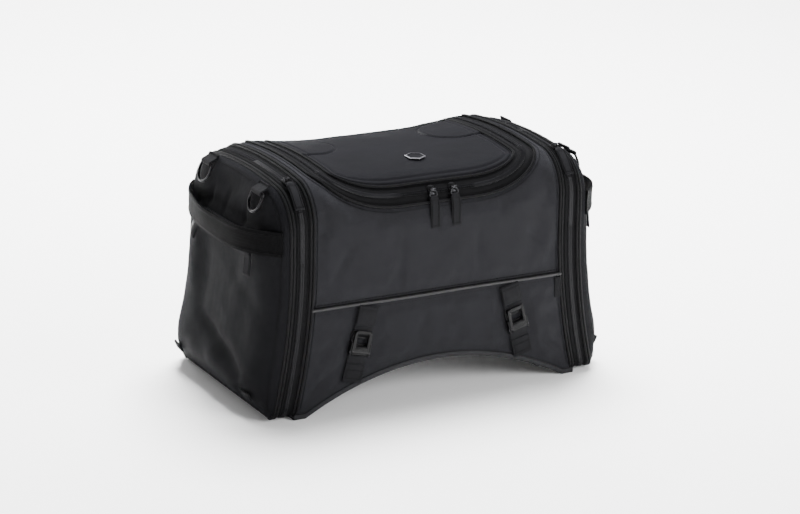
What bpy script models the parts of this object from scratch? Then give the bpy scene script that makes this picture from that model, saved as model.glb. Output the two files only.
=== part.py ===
"""Expandable motorcycle tail bag: a soft case on an arched base, with a zipped lid and two zipped ends.

Metres, +Z up. X runs along the bag, -Y is the front with the two buckled straps, and the origin
is on the floor under the middle of the bag.
"""

import bmesh
import bpy
from math import acos, atan2, cos, pi, radians, sin, sqrt
from mathutils import Matrix, Vector

# ---- driving dimensions -------------------------------------------------------------------
GAP = 0.0003  # clearance between touching pieces
FABRIC = 0.003  # padded fabric wall
WEB = 0.0018  # webbing thickness

HALF_FLOOR = 0.199  # half the main body's length at the floor
HALF_TOP = 0.1735  # and from FLARE_TOP upwards
FLARE_TOP = 0.20
DEPTH_FLOOR = 0.132  # half the depth at the floor
DEPTH_TOP = 0.129  # and at the rounded top edge
CROWN = 0.287  # height of the lid's middle
SADDLE = 0.0095  # the top is this much higher at its ends
SADDLE_FLAT, SADDLE_END = 0.05, 0.15
SHOULDER_DROP = 0.0099  # then falls by this much to the side panel
CORNER = 0.0516  # radius of the long top edges
DOME_TILT = 0.128  # slope of the lid where it meets the rounded edge
FOOT_ROUND = 0.012  # radius of the long bottom edges
END_LIFT = 0.0030  # the soft ends clear the floor by this much
ARCH_HALF, ARCH_RISE = 0.183, 0.0493  # tunnel over the motorcycle seat

SEAM_Z = 0.1355  # reflective seam across the front
END_BAND = 0.0284  # width of the zipped band at each end
PIPE = 0.0020  # radius of the piping
EDGING = 0.0019  # and of the piping along the tunnel's edges
TAPE_LOW = -0.0014  # underside of a zip tape, from the bag's surface
PIPE_SINK = 0.0004  # the ends' zips and piping lie this far below it
WALL_START = 0.0044  # the body's walls start this far above the tunnel's underside
BULGE = 0.046  # how far a side panel stands out
PANEL_EDGE = END_BAND + 0.0008  # where a side panel starts
BULGE_TAPER = 0.35  # and how much less near its top
TUCK_Z = 0.060  # below this it is drawn in towards the floor

LID_HALF = 0.1418  # centre line of the lid zip
LID_FRONT, LID_SHOULDER = 0.1242, 0.0756  # measured over the top, from the crown line
LID_STRAIGHT = 0.05
LID_CURVE = 2.35
LID_REAR = -0.0935
HINGE_Y, HINGE_Z = 0.0915, 0.2885

STRAP_WIDTH, STRAP_TILT = 0.025, radians(14)
BUCKLE_X, BUCKLE_Z = 0.110, 0.086
BUCKLE_WIDTH, BUCKLE_HEIGHT, BUCKLE_PLATE = 0.028, 0.030, 0.0020
BUCKLE_RAIL, BUCKLE_LIFT = 0.0016, 0.0012
PIN_V, PIN_H, PIN_RADIUS = -0.0110, 0.0060, 0.0010  # the lever's pin, up the strap and above it
LEVER_LENGTH, LEVER_CENTRE = 0.0300, 0.0123
HANDLE_Z, HANDLE_WIDTH, HANDLE_REACH = 0.222, 0.030, 0.118
HANDLE_STAND = 0.016
RING_Y, RING_Z, RING_WIDTH, RING_HEIGHT, RING_WIRE = 0.072, 0.2745, 0.033, 0.028, 0.0017
RING_TAB = 0.024
POCKET_Z, POCKET_FRONT, POCKET_BEND, POCKET_RADIUS = 0.2145, -0.100, 0.038, 0.055
POCKET_TAPE = 0.009  # half the pocket zip's width
POCKET_PARK = -0.085  # where its slider rests
LID_PARK = (("left", -0.008), ("right", 0.0215))
EXPANSION_PARK, EXPANSION_DX = radians(82), 0.0142

PULL_WIDTH, PULL_LENGTH, POCKET_PULL = 0.0125, 0.0525, 0.0425
LID_DRAPE, EXPANSION_DRAPE = 0.110, 0.075  # radius that a pull's tail hangs in
LID_DROOP, EXPANSION_DROOP, POCKET_DROOP = radians(19), radians(18), radians(3)

# ---- colours: base colour, roughness, metallic --------------------------------------------
FINISHES = {
    "nylon": ((0.016, 0.016, 0.018), 0.70, 0.0),
    "moulded": ((0.012, 0.012, 0.013), 0.42, 0.0),
    "webbing": ((0.013, 0.013, 0.014), 0.75, 0.0),
    "piping": ((0.020, 0.020, 0.021), 0.55, 0.0),
    "reflective": ((0.30, 0.31, 0.32), 0.40, 0.0),
    "zip": ((0.010, 0.010, 0.011), 0.50, 0.0),
    "metal": ((0.045, 0.045, 0.048), 0.35, 1.0),
    "board": ((0.030, 0.030, 0.032), 0.60, 0.0),
    "badge": ((0.60, 0.61, 0.62), 0.35, 0.6),
}


def finish(name):
    found = bpy.data.materials.get(name)
    if found:
        return found
    colour, roughness, metallic = FINISHES[name]
    made = bpy.data.materials.new(name)
    made.use_nodes = True
    shader = made.node_tree.nodes["Principled BSDF"]
    shader.inputs["Base Color"].default_value = (*colour, 1)
    shader.inputs["Roughness"].default_value = roughness
    shader.inputs["Metallic"].default_value = metallic
    made.diffuse_color = (*colour, 1)
    return made


def add(name, data, material, parent=None):
    piece = bpy.data.objects.new(name, data)
    bpy.context.scene.collection.objects.link(piece)
    data.materials.append(finish(material))
    piece.parent = parent
    return piece


def pivot(name, matrix, parent=None):
    """An empty on a joint's axis, which is its local X."""
    empty = bpy.data.objects.new(name, None)
    bpy.context.scene.collection.objects.link(empty)
    empty.empty_display_size = 0.01
    empty.parent = parent
    empty.matrix_local = matrix if parent is None else parent.matrix_world.inverted() @ matrix
    bpy.context.view_layer.update()
    return empty


SIX = [2 * pi * k / 6 for k in range(6)]  # directions round a thin piping


# ---- mesh builders ------------------------------------------------------------------------
def mesh_of(name, points, faces):
    mesh = bpy.data.meshes.new(name)
    mesh.from_pydata([tuple(p) for p in points], [], faces)
    form = bmesh.new()
    form.from_mesh(mesh)
    bmesh.ops.recalc_face_normals(form, faces=form.faces)
    form.to_mesh(mesh)
    form.free()
    mesh.shade_smooth()
    mesh.set_sharp_from_angle(angle=radians(40))
    return mesh


def grid(name, rows, material, thickness=FABRIC, inward=(0, 0, 0)):
    """A sheet through rows of points, thickened on the side that faces the point inward."""
    wide = len(rows[0])
    faces = [
        (r * wide + c, r * wide + c + 1, (r + 1) * wide + c + 1, (r + 1) * wide + c)
        for r in range(len(rows) - 1)
        for c in range(wide - 1)
    ]
    mesh = mesh_of(name, [p for row in rows for p in row], faces)
    face = mesh.polygons[len(mesh.polygons) // 2]
    faces_inward = face.normal.dot(Vector(inward) - face.center) > 0
    piece = add(name, mesh, material)
    solid = piece.modifiers.new("thickness", "SOLIDIFY")
    solid.thickness = thickness
    solid.offset = 1 if faces_inward else -1
    solid.use_even_offset = False
    return piece


def sweep(name, loops, material, parent=None, closed=False):
    """A closed solid through a row of equal loops of points."""
    sides = len(loops[0])
    last = len(loops) if closed else len(loops) - 1
    faces = [
        (
            k * sides + s,
            k * sides + (s + 1) % sides,
            (k + 1) % len(loops) * sides + (s + 1) % sides,
            (k + 1) % len(loops) * sides + s,
        )
        for k in range(last)
        for s in range(sides)
    ]
    if not closed:
        faces += [tuple(range(sides)), tuple(range((last) * sides, (last + 1) * sides))]
    return add(name, mesh_of(name, [p for loop in loops for p in loop], faces), material, parent)


def cord(name, points, radius, material, closed=False):
    """Round piping along a row of points."""
    curve = bpy.data.curves.new(name, "CURVE")
    curve.dimensions = "3D"
    curve.bevel_depth = radius
    curve.bevel_resolution = 1
    curve.use_fill_caps = True
    spline = curve.splines.new("POLY")
    spline.points.add(len(points) - 1)
    for knot, point in zip(spline.points, points):
        knot.co = (*point, 1)
    spline.use_cyclic_u = closed
    spline.use_smooth = True
    return add(name, curve, material)


def boolean(piece, cutter, operation):
    step = piece.modifiers.new(operation.lower(), "BOOLEAN")
    step.operation = operation
    step.object = cutter
    cutter.hide_render = True
    cutter.display_type = "WIRE"


def box(name, size, centre=(0, 0, 0), material="metal", parent=None):
    form = bmesh.new()
    scale = Matrix.Diagonal((*size, 1))
    bmesh.ops.create_cube(form, size=1, matrix=Matrix.Translation(centre) @ scale)
    mesh = bpy.data.meshes.new(name)
    form.to_mesh(mesh)
    form.free()
    return add(name, mesh, material, parent)


def rod(name, radius, length, centre=(0, 0, 0), sides=12):
    """A round bar along X."""
    form = bmesh.new()
    place = Matrix.Translation(centre) @ Matrix.Rotation(pi / 2, 4, "Y")
    bmesh.ops.create_cone(
        form, cap_ends=True, segments=sides, radius1=radius, radius2=radius, depth=length, matrix=place
    )
    mesh = bpy.data.meshes.new(name)
    form.to_mesh(mesh)
    form.free()
    return add(name, mesh, "metal")


# ---- the bag's outer surface --------------------------------------------------------------
def half_width(z):
    return HALF_TOP + (HALF_FLOOR - HALF_TOP) * max(0.0, 1 - z / FLARE_TOP) ** 2


def crown(x):
    x = abs(x)
    if x <= SADDLE_END:
        return CROWN + SADDLE * (max(0.0, x - SADDLE_FLAT) / (SADDLE_END - SADDLE_FLAT)) ** 2
    edge = HALF_TOP + END_BAND - SADDLE_END
    return CROWN + SADDLE - SHOULDER_DROP * ((x - SADDLE_END) / edge) ** 1.6


def arch(x):
    return ARCH_RISE * max(0.0, 1 - (x / ARCH_HALF) ** 2)


DOME = (DEPTH_TOP - CORNER + CORNER * sin(DOME_TILT)) / sin(DOME_TILT)  # radius over the lid
DOME_RISE = DOME * (1 - cos(DOME_TILT))
BOTTOM_STEPS, LOWER_STEPS, UPPER_STEPS, CORNER_STEPS, DOME_STEPS = 3, 3, 4, 6, 3
WALL_ROWS = LOWER_STEPS + UPPER_STEPS + CORNER_STEPS + DOME_STEPS


def corner_z(x):
    """Height of the centre of the rounded top edge."""
    return crown(x) - DOME_RISE - CORNER * cos(DOME_TILT)


def half_section(x_top, low, out=0.0, foot=FOOT_ROUND):
    """(y, z) from the bottom edge at height low up to the crown, moved outwards by out."""
    high = corner_z(x_top)
    start = low + foot

    def wall(z, lift):
        return DEPTH_TOP + (DEPTH_FLOOR - DEPTH_TOP) * (1 - z / high) + lift

    points = []
    for k in range(BOTTOM_STEPS if foot == FOOT_ROUND else 0):
        turn = pi / 2 * k / BOTTOM_STEPS
        reach = wall(low, 0) - foot + (foot + out) * sin(turn)
        points.append((-reach, start - (foot + out) * cos(turn)))
    for k in range(LOWER_STEPS):
        z = start + (SEAM_Z - start) * k / LOWER_STEPS
        points.append((-wall(z, out), z))
    for k in range(UPPER_STEPS):
        z = SEAM_Z + (high - SEAM_Z) * k / UPPER_STEPS
        points.append((-wall(z, out), z))
    for k in range(CORNER_STEPS):
        turn = (pi / 2 - DOME_TILT) * k / CORNER_STEPS
        y = DEPTH_TOP - CORNER + (CORNER + out) * cos(turn)
        points.append((-y, high + (CORNER + out) * sin(turn)))
    for k in range(DOME_STEPS + 1):
        turn = DOME_TILT * (1 - k / DOME_STEPS)
        points.append((-(DOME + out) * sin(turn), crown(x_top) + out - (DOME + out) * (1 - cos(turn))))
    return points


def section(x_top, low, out=0.0, foot=FOOT_ROUND):
    """(y, z) from the front foot over the crown to the rear foot."""
    half = half_section(x_top, low, out, foot)
    return half + [(-y, z) for y, z in reversed(half[:-1])]


def end_loop(side, dx, out=0.0, drop=0):
    """The section carried to one end of the bag, dx beyond the main body's edge."""
    loop = section(HALF_TOP + dx, END_LIFT, out)
    points = [Vector((side * (half_width(z) + dx), y, z)) for y, z in loop]
    return points[drop : len(points) - drop]


def over_top(x, s, out=0.0):
    """A point of the top, s along the surface from the crown line and positive to the front."""
    flat = DOME * DOME_TILT
    a = abs(s)
    if a <= flat:
        turn = a / DOME
        y, z = (DOME + out) * sin(turn), crown(x) + out - (DOME + out) * (1 - cos(turn))
    else:
        turn = DOME_TILT + (a - flat) / CORNER
        y = DEPTH_TOP - CORNER + (CORNER + out) * sin(turn)
        z = corner_z(x) + (CORNER + out) * cos(turn)
    return Vector((x, -y if s > 0 else y, z))


def lid_line(offset, steps=9):
    """The U of the lid zip as (x, s), from the left rear round the front to the right rear."""
    quarter = []
    for k in range(steps + 1):
        t = pi / 2 * k / steps
        x = LID_STRAIGHT + (LID_HALF - LID_STRAIGHT) * cos(t) ** (2 / LID_CURVE)
        quarter.append((x, LID_SHOULDER + (LID_FRONT - LID_SHOULDER) * sin(t) ** (2 / LID_CURVE)))
    legs = [(LID_HALF, LID_REAR + (LID_SHOULDER - LID_REAR) * k / 6) for k in range(6)]
    right = [Vector(p) for p in legs + quarter]
    moved = []
    for k, point in enumerate(right):
        if k in (0, len(right) - 1):
            along = Vector((0, 1)) if k == 0 else Vector((-1, 0))
        else:
            along = (right[k + 1] - right[k - 1]).normalized()
        moved.append(point + offset * Vector((along.y, -along.x)))
    left = [Vector((-p.x, p.y)) for p in moved]
    return left + moved[::-1]


# ---- the side panels' surface -------------------------------------------------------------
SIDE_CENTRE_Z = 0.135
SIDE_RINGS = (1.0, 0.95, 0.86, 0.70, 0.48, 0.24)


def side_outline():
    """Closed outline (y, z) of a side panel: the bag's section and a straight bottom."""
    loop = section(HALF_TOP + END_BAND, END_LIFT)
    first, last = loop[0], loop[-1]
    steps = 6
    bottom = [
        (last[0] + (first[0] - last[0]) * k / steps, first[1]) for k in range(1, steps)
    ]
    return loop + bottom


def swell(f, z):
    """How far a side panel stands out where it is f of the way from its middle to its edge."""
    tuck = (1 - (1 - min(1.0, z / TUCK_Z)) ** 2) ** 0.8
    return BULGE * sqrt(max(0.0, 1 - f**2.6)) * (1 - BULGE_TAPER * z / CROWN) * tuck


def side_x(y, z):
    """Distance of a side panel's surface from the bag's middle plane."""
    outline = side_outline()
    angle = atan2(z - SIDE_CENTRE_Z, y)
    reach = Vector((y, z - SIDE_CENTRE_Z)).length
    edge = reach
    for (ya, za), (yb, zb) in zip(outline, outline[1:] + outline[:1]):
        # the ray from the middle at this angle against this stretch of the outline
        dy, dz = yb - ya, zb - za
        den = cos(angle) * dz - sin(angle) * dy
        if abs(den) < 1e-9:
            continue
        t = (sin(angle) * ya - cos(angle) * (za - SIDE_CENTRE_Z)) / den
        along = cos(angle) * (ya + t * dy) + sin(angle) * (za - SIDE_CENTRE_Z + t * dz)
        if 0 <= t <= 1 and along > 0:
            edge = along
    f = min(1.0, reach / edge)
    return half_width(z) + PANEL_EDGE + swell(f, z)


# ---- main body ----------------------------------------------------------------------------
COLUMNS = 16


def foot_x(u):
    """Where a column of the wrap, u of the way to the end, meets the tunnel's edge."""
    x = u * HALF_FLOOR
    for _ in range(6):
        x = u * half_width(arch(x))
    return x


def body_rows(first, last, out=0.0, edge=GAP + 0.0001):
    """Rows of the body's wrap between two rows of the section, each from left to right."""
    rows = []
    for r in range(first, last + 1):
        row = []
        for c in range(COLUMNS + 1):
            u = -1 + 2 * c / COLUMNS
            y, z = section(u * HALF_TOP, arch(foot_x(u)), out, WALL_START)[r]
            row.append(Vector((u * (half_width(z) - edge), y, z)))
        rows.append(row)
    return rows


def prism(name, outline, low, high):
    """A hidden cutter with straight sides over a plan outline."""
    count = len(outline)
    points = [(p[0], p[1], low) for p in outline] + [(p[0], p[1], high) for p in outline]
    faces = [(k, (k + 1) % count, count + (k + 1) % count, count + k) for k in range(count)]
    faces += [tuple(range(count)), tuple(range(count, 2 * count))]
    return add(name, mesh_of(name, points, faces), "nylon")


def make_body():
    middle = (0, 0, 0.15)
    lower = body_rows(0, LOWER_STEPS)
    for point in lower[-1]:
        point.z -= 2 * GAP
    grid("front_lower_panel", lower, "nylon", inward=middle)

    shell = grid("main_shell", body_rows(LOWER_STEPS, 2 * WALL_ROWS), "nylon", inward=middle)
    outline = lid_line(0.0166)
    for corner in (outline[0], outline[-1]):
        corner.y -= 2 * GAP
    edge = [over_top(p.x, p.y) for p in outline]
    boolean(shell, prism("lid_opening_cutter", edge, 0.15, 0.40), "DIFFERENCE")

    flat = DEPTH_FLOOR - EDGING
    foot = HALF_FLOOR - GAP - 0.0001
    stations = [-foot] + [ARCH_HALF * (-1 + k / 10) for k in range(21)] + [foot]
    base, board = [], []
    for x in stations:
        base.append([Vector((x, y, arch(x))) for y in (-flat, 0, flat)])
    for x in stations[1:-1]:
        board.append([Vector((x, y, arch(x) + 0.0045)) for y in (-flat + 0.006, 0, flat - 0.006)])
    bottom = grid("base_panel", base, "nylon", thickness=0.0022, inward=middle)
    grid("base_board", board, "board", thickness=0.0025, inward=middle)

    across = [
        Vector((u * (half_width(SEAM_Z) - 0.001), -DEPTH_TOP - 0.0013 - 0.0016 - GAP, SEAM_Z))
        for u in (-1, -0.5, 0, 0.5, 1)
    ]
    cord("reflective_piping", across, 0.0016, "reflective")
    for face in (-1, 1):
        loops = []
        for x in stations:
            y, z = face * flat, arch(x) + EDGING
            loops.append([Vector((x, y + EDGING * cos(t), z + EDGING * sin(t))) for t in SIX])
        boolean(bottom, sweep("arch_edging", loops, "piping"), "UNION")

    cord("opening_piping", [over_top(p.x, p.y) for p in lid_line(0.0145)], PIPE - GAP, "piping")
    ribbon("opening_zip_tape", GAP, 0.0124)


def taped(name, rings, material):
    """Flat tape between two rows of points, given low and high: near low, far low, far high, near high."""
    return sweep(name, list(zip(*rings)), material)


def ribbon(name, near, far):
    """Zip tape on the top between two distances from the zip's centre line."""
    rings = []
    for offset, out in ((near, TAPE_LOW), (far, TAPE_LOW), (far, 0.0), (near, 0.0)):
        rings.append([over_top(p.x, p.y, out) for p in lid_line(offset)])
    taped(name, rings, "zip")


def end_tape(name, side, near, far):
    """Zip tape across one end of the bag, a little below its surface."""
    rings = []
    for dx, out in ((near, TAPE_LOW), (far, TAPE_LOW), (far, 0.0), (near, 0.0)):
        rings.append(end_loop(side, dx, out - PIPE_SINK))
    taped(name, rings, "zip")


# ---- zip sliders and their pulls ----------------------------------------------------------
SLIDER_LIFT = 0.0006  # underside above the tape
PIN_LIFT = 0.0062  # hinge pin above the tape
# stations of a pull's tail: share of its length, and of its width and thickness
PULL_TAIL = (
    (0, 0.75, 1),
    (0.06, 1, 1),
    (0.25, 1, 1),
    (0.5, 1, 1),
    (0.75, 1, 1),
    (0.95, 1, 1),
    (1, 1.03, 0.8),
)


def slider_mesh():
    """Slider in its own frame: X across the zip, Y along it, Z away from the tape."""
    wide, long, thick = 0.0085, 0.0115, 0.0022
    ear, ear_height, pin_length = 0.0011, 0.0044, 0.0066
    plate = box("slider_plate", (wide, long, thick), (0, 0, SLIDER_LIFT + thick / 2))
    bevel = plate.modifiers.new("edges", "BEVEL")
    bevel.width, bevel.segments = 0.0006, 1
    parts = [rod("slider_pin", 0.0007, pin_length, (0, 0, PIN_LIFT), 10)]
    for side in (-1, 1):
        centre = (side * 0.00345, 0, 0.0049)
        parts.append(box("slider_ear", (ear, 0.0026, ear_height), centre))
    return merged(plate, parts, "slider")


def pull_mesh(length, drape=None):
    """Pull in its own frame: hinge pin along X through the origin, hanging towards -Y.

    drape is the radius that the webbing tail bends in, towards -Z.
    """
    eye = rod("pull_eye", 0.0017, 0.0046)
    bore = rod("pull_bore", 0.0009, 0.02)
    radius, wire, sides = 0.0048, 0.0008, 14
    middle = Vector((0, -0.0016 - radius, 0))
    loops = []
    for k in range(sides):
        a = 2 * pi * k / sides
        out = Vector((cos(a), sin(a), 0))
        loops.append([middle + out * (radius + wire * cos(t)) + Vector((0, 0, wire * sin(t))) for t in SIX])
    ring = sweep("pull_ring", loops, "metal", closed=True)

    start, thick = 0.0099, 0.0010
    tail = length - start - 0.004
    loops = []
    for run, width, height in PULL_TAIL:
        d = run * tail
        turn = d / drape if drape else 0.0
        y = -start - (drape * sin(turn) if drape else d)
        z = -drape * (1 - cos(turn)) if drape else 0.0
        a, b = PULL_WIDTH / 2 * width, thick * height
        up = Vector((0, -sin(turn), cos(turn)))
        centre = Vector((0, y, z))
        loops.append([centre + Vector((x, 0, 0)) + up * h for x, h in ((-a, -b), (a, -b), (a, b), (-a, b))])
    tab = sweep("pull_tab", loops, "webbing")
    return merged(eye, [ring, tab], "pull", cut=bore)


def merged(first, others, name, cut=None):
    """One mesh from a union of parts, less a cutter."""
    for other in others:
        boolean(first, other, "UNION")
    if cut:
        boolean(first, cut, "DIFFERENCE")
    bpy.context.view_layer.update()
    graph = bpy.context.evaluated_depsgraph_get()
    mesh = bpy.data.meshes.new_from_object(first.evaluated_get(graph))
    mesh.name = name
    for piece in [first, *others] + ([cut] if cut else []):
        bpy.data.objects.remove(piece)
    return mesh


def frame(origin, across, along):
    """Matrix with X across the zip, Y along it and Z away from the surface."""
    x = across.normalized()
    z = x.cross(along).normalized()
    y = z.cross(x)
    matrix = Matrix((x, y, z)).transposed().to_4x4()
    matrix.translation = origin
    return matrix


def slider_pair(name, matrix, slider, pull, droop):
    """A slider on its tape and the pull hinged on it. Droop turns the pull towards the fabric."""
    seat = pivot(f"{name}_slider_seat", matrix)
    add(f"{name}_slider", slider, "metal", seat)
    hinge = matrix @ Matrix.Translation((0, 0, PIN_LIFT)) @ Matrix.Rotation(droop, 4, "X")
    hook = pivot(f"{name}_pull_axis", hinge, seat)
    add(f"{name}_pull", pull, "webbing", hook)


# ---- straps and buckles -------------------------------------------------------------------
def on_front(x, z, out=0.0):
    return Vector((x, -front_depth(z) - out, z))


def front_depth(z):
    high = corner_z(0)
    return DEPTH_TOP + (DEPTH_FLOOR - DEPTH_TOP) * (1 - z / high)


def strap_frame(side):
    """X across the strap, Y up along it and Z away from the front."""
    lean = atan2(DEPTH_FLOOR - DEPTH_TOP, corner_z(0))
    place = Matrix.Translation(on_front(side * BUCKLE_X, BUCKLE_Z))
    return place @ Matrix.Rotation(pi / 2 - lean, 4, "X") @ Matrix.Rotation(side * STRAP_TILT, 4, "Z")


def strap(name, profile, matrix):
    """Webbing through (distance along, height) points, the heights those of its middle."""
    loops = []
    for k, (v, h) in enumerate(profile):
        ahead = Vector(profile[min(len(profile) - 1, k + 1)])
        behind = Vector(profile[max(0, k - 1)])
        along = (ahead - behind).normalized()
        n = Vector((-along.y, along.x)) * WEB / 2
        if n.y < 0:
            n = -n
        w = STRAP_WIDTH / 2
        low, high = (v - n.x, h - n.y), (v + n.x, h + n.y)
        corners = [(-w, *low), (w, *low), (w, *high), (-w, *high)]
        loops.append([matrix @ Vector(c) for c in corners])
    sweep(name, loops, "webbing")


def make_straps():
    flat, raised = WEB / 2 + GAP, 0.0022
    reach = BUCKLE_HEIGHT / 2 + GAP
    upper = [(0.043, flat), (0.030, flat), (0.0205, 0.0019), (reach, raised)]
    lower = [(-reach - GAP, raised), (-0.0215, 0.0016), (-0.030, flat), (-0.049, flat)]
    for name, side in (("left", -1), ("right", 1)):
        matrix = strap_frame(side)
        strap(f"strap_upper_{name}", upper, matrix)
        strap(f"strap_lower_{name}", lower, matrix)
        make_buckle(name, matrix)


def make_buckle(name, matrix):
    """Base frame on the strap and the lever hinged near its lower end."""
    seat = pivot(f"buckle_seat_{name}", matrix)
    size = (BUCKLE_WIDTH, BUCKLE_HEIGHT, BUCKLE_PLATE)
    plate = box("plate", size, (0, 0, BUCKLE_LIFT + BUCKLE_PLATE / 2))
    window = box("window", (BUCKLE_WIDTH - 0.008, 0.011, 0.02), (0, 0.0025, 0))
    parts = [rod("buckle_pin", PIN_RADIUS, BUCKLE_WIDTH - BUCKLE_RAIL / 2, (0, PIN_V, PIN_H), 10)]
    for side in (-1, 1):
        centre = (side * (BUCKLE_WIDTH - BUCKLE_RAIL) / 2, -0.0070, 0.0047)
        parts.append(box("rail", (BUCKLE_RAIL, 0.016, 0.0056), centre))
    mesh = merged(plate, parts, f"buckle_frame_{name}", cut=window)
    add(f"buckle_frame_{name}", mesh, "metal", seat)

    # the lever's own origin is on the pin
    span = BUCKLE_WIDTH - 2 * BUCKLE_RAIL - 0.0010
    body = box("lever", (span, LEVER_LENGTH, 0.0026), (0, LEVER_CENTRE, 0.0005))
    bevel = body.modifiers.new("edges", "BEVEL")
    bevel.width, bevel.segments = 0.0008, 2
    hole = box("lever_hole", (span - 0.008, 0.0140, 0.02), (0, LEVER_CENTRE + 0.0030, 0))
    boss = rod("lever_boss", 0.0024, span, sides=16)
    bore = rod("lever_bore", PIN_RADIUS + 0.00025, 0.06, sides=16)
    boolean(body, boss, "UNION")
    boolean(body, hole, "DIFFERENCE")
    mesh = merged(body, [], f"buckle_lever_{name}", cut=bore)
    for piece in (boss, hole):
        bpy.data.objects.remove(piece)
    axis = pivot(f"buckle_axis_{name}", matrix @ Matrix.Translation((0, PIN_V, PIN_H)), seat)
    add(f"buckle_lever_{name}", mesh, "metal", axis)


# ---- the two ends -------------------------------------------------------------------------
def make_end(name, side, slider, pulls):
    inner, outer = PIPE + 0.0002, END_BAND - 0.0039
    cord(f"end_piping_{name}", end_loop(side, inner, -PIPE_SINK), PIPE - 0.0001, "piping")
    end_tape(f"expansion_tape_{name}", side, 0.0046, 0.0140)
    end_tape(f"side_tape_{name}", side, 0.0144, 0.0222)
    cord(f"side_piping_{name}", end_loop(side, outer, -PIPE_SINK), PIPE - 0.0001, "piping")
    make_side_panel(name, side)
    make_gusset(name, side)
    make_rings(name, side)
    make_handle(name, side)
    make_pocket(name, side, slider, pulls["pocket"])
    make_loops(name, side)

    # expansion slider, on the band near the top of the front edge
    centre_z = corner_z(HALF_TOP + EXPANSION_DX)
    centre = Vector((side * (HALF_TOP + EXPANSION_DX), CORNER - DEPTH_TOP, centre_z))
    out = Vector((0, -cos(EXPANSION_PARK), sin(EXPANSION_PARK)))
    up = Vector((0, sin(EXPANSION_PARK), cos(EXPANSION_PARK)))
    seat = frame(centre + out * CORNER, Vector((1, 0, 0)), up)
    slider_pair(f"expansion_{name}", seat, slider, pulls["expansion"], EXPANSION_DROOP)
    pivot(f"expansion_axis_{name}", Matrix.Translation(centre))


def make_side_panel(name, side):
    outline = side_outline()
    rings = []
    for f in SIDE_RINGS:
        ring = []
        for y, z in outline:
            y, z = y * f, SIDE_CENTRE_Z + (z - SIDE_CENTRE_Z) * f
            ring.append(Vector((side * (half_width(z) + PANEL_EDGE + swell(f, z)), y, z)))
        rings.append(ring)
    count = len(outline)
    points = [p for ring in rings for p in ring]
    faces = [
        (k * count + c, k * count + (c + 1) % count, (k + 1) * count + (c + 1) % count, (k + 1) * count + c)
        for k in range(len(rings) - 1)
        for c in range(count)
    ]
    z = SIDE_CENTRE_Z
    points.append(Vector((side * (half_width(z) + PANEL_EDGE + swell(0, z)), 0, z)))
    start = (len(rings) - 1) * count
    faces += [(start + c, start + (c + 1) % count, len(points) - 1) for c in range(count)]
    mesh = mesh_of(f"side_panel_{name}", points, faces)
    outward = mesh.polygons[-1].normal.x * side > 0
    piece = add(f"side_panel_{name}", mesh, "nylon")
    solid = piece.modifiers.new("thickness", "SOLIDIFY")
    solid.thickness = FABRIC
    solid.offset = -1 if outward else 1


def make_gusset(name, side):
    """The sleeve of fabric that bridges the gap when the end is let out."""
    inset = -0.0075
    drop = BOTTOM_STEPS + 1
    near = [p for p in section(HALF_TOP + END_BAND, END_LIFT, inset)][drop:-drop]
    rows = []
    for along in (0.0255, 0.0, -0.025, -0.045):
        row = []
        for y, z in near:
            row.append(Vector((side * (half_width(z) + along), y, z)))
        rows.append(row)
    grid(f"gusset_{name}", rows, "nylon", thickness=0.0010, inward=(side * 0.17, 0, 0.1))


def clear_x(y, z, wide):
    """The furthest that a side panel stands out within a width about y."""
    return max(side_x(y - wide, z), side_x(y, z), side_x(y + wide, z))


def make_rings(name, side):
    wide = RING_WIDTH / 2 - RING_WIRE
    for place, y in (("front", -RING_Y), ("rear", RING_Y)):
        low_z = RING_Z - RING_HEIGHT + 2 * RING_WIRE
        top = Vector((clear_x(y, RING_Z, wide), RING_Z))
        low = Vector((clear_x(y, low_z, wide), low_z))
        middle = Vector((clear_x(y, (RING_Z + low_z) / 2, wide), (RING_Z + low_z) / 2))
        swell_out = (middle - (top + low) / 2).x
        x = top.x + RING_WIRE + 0.0012 + max(0.0, swell_out)
        lean = atan2(low.x - top.x, RING_Z - low_z)
        axis = Matrix.Translation((side * x, y, RING_Z)) @ Matrix.Rotation(-side * lean, 4, "Y")
        hook = pivot(f"ring_axis_{name}_{place}", axis)
        make_ring_tab(f"ring_tab_{name}_{place}", side, y, x)
        make_ring(f"d_ring_{name}_{place}", hook)


def make_ring_tab(name, side, y, x):
    """Webbing sewn to the panel's shoulder and folded round the ring's straight bar."""
    sewn_z = RING_Z + 0.0062
    outer, inner = RING_WIRE + 0.0024, RING_WIRE + 0.0006
    sewn = side_x(y, sewn_z)
    shape = [(sewn + 0.0024, sewn_z)]
    shape += [(x + outer * cos(t), RING_Z + outer * sin(t)) for t in (0.9, 0.4, -0.1, -0.6)]
    shape += [(x + inner * cos(t), RING_Z + inner * sin(t)) for t in (-0.6, -0.1, 0.4, 0.9)]
    shape += [(sewn + 0.0008, sewn_z - 0.0006)]
    loops = [
        [Vector((side * px, y + edge * RING_TAB / 2, pz)) for px, pz in shape] for edge in (-1, 1)
    ]
    sweep(name, loops, "webbing")


def make_ring(name, hook):
    """D-ring in its own frame: straight bar along Y through the origin, hanging down -Z."""
    half, tall = RING_WIDTH / 2 - RING_WIRE, RING_HEIGHT - 2 * RING_WIRE
    path = [Vector((0, -half, 0)), Vector((0, half, 0))]
    straight, steps = tall - half, 8
    for k in range(steps + 1):
        a = pi * k / steps
        path.append(Vector((0, half * cos(a), -straight - half * sin(a))))
    ring = cord(name, path, RING_WIRE, "metal", closed=True)
    ring.parent = hook


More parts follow.
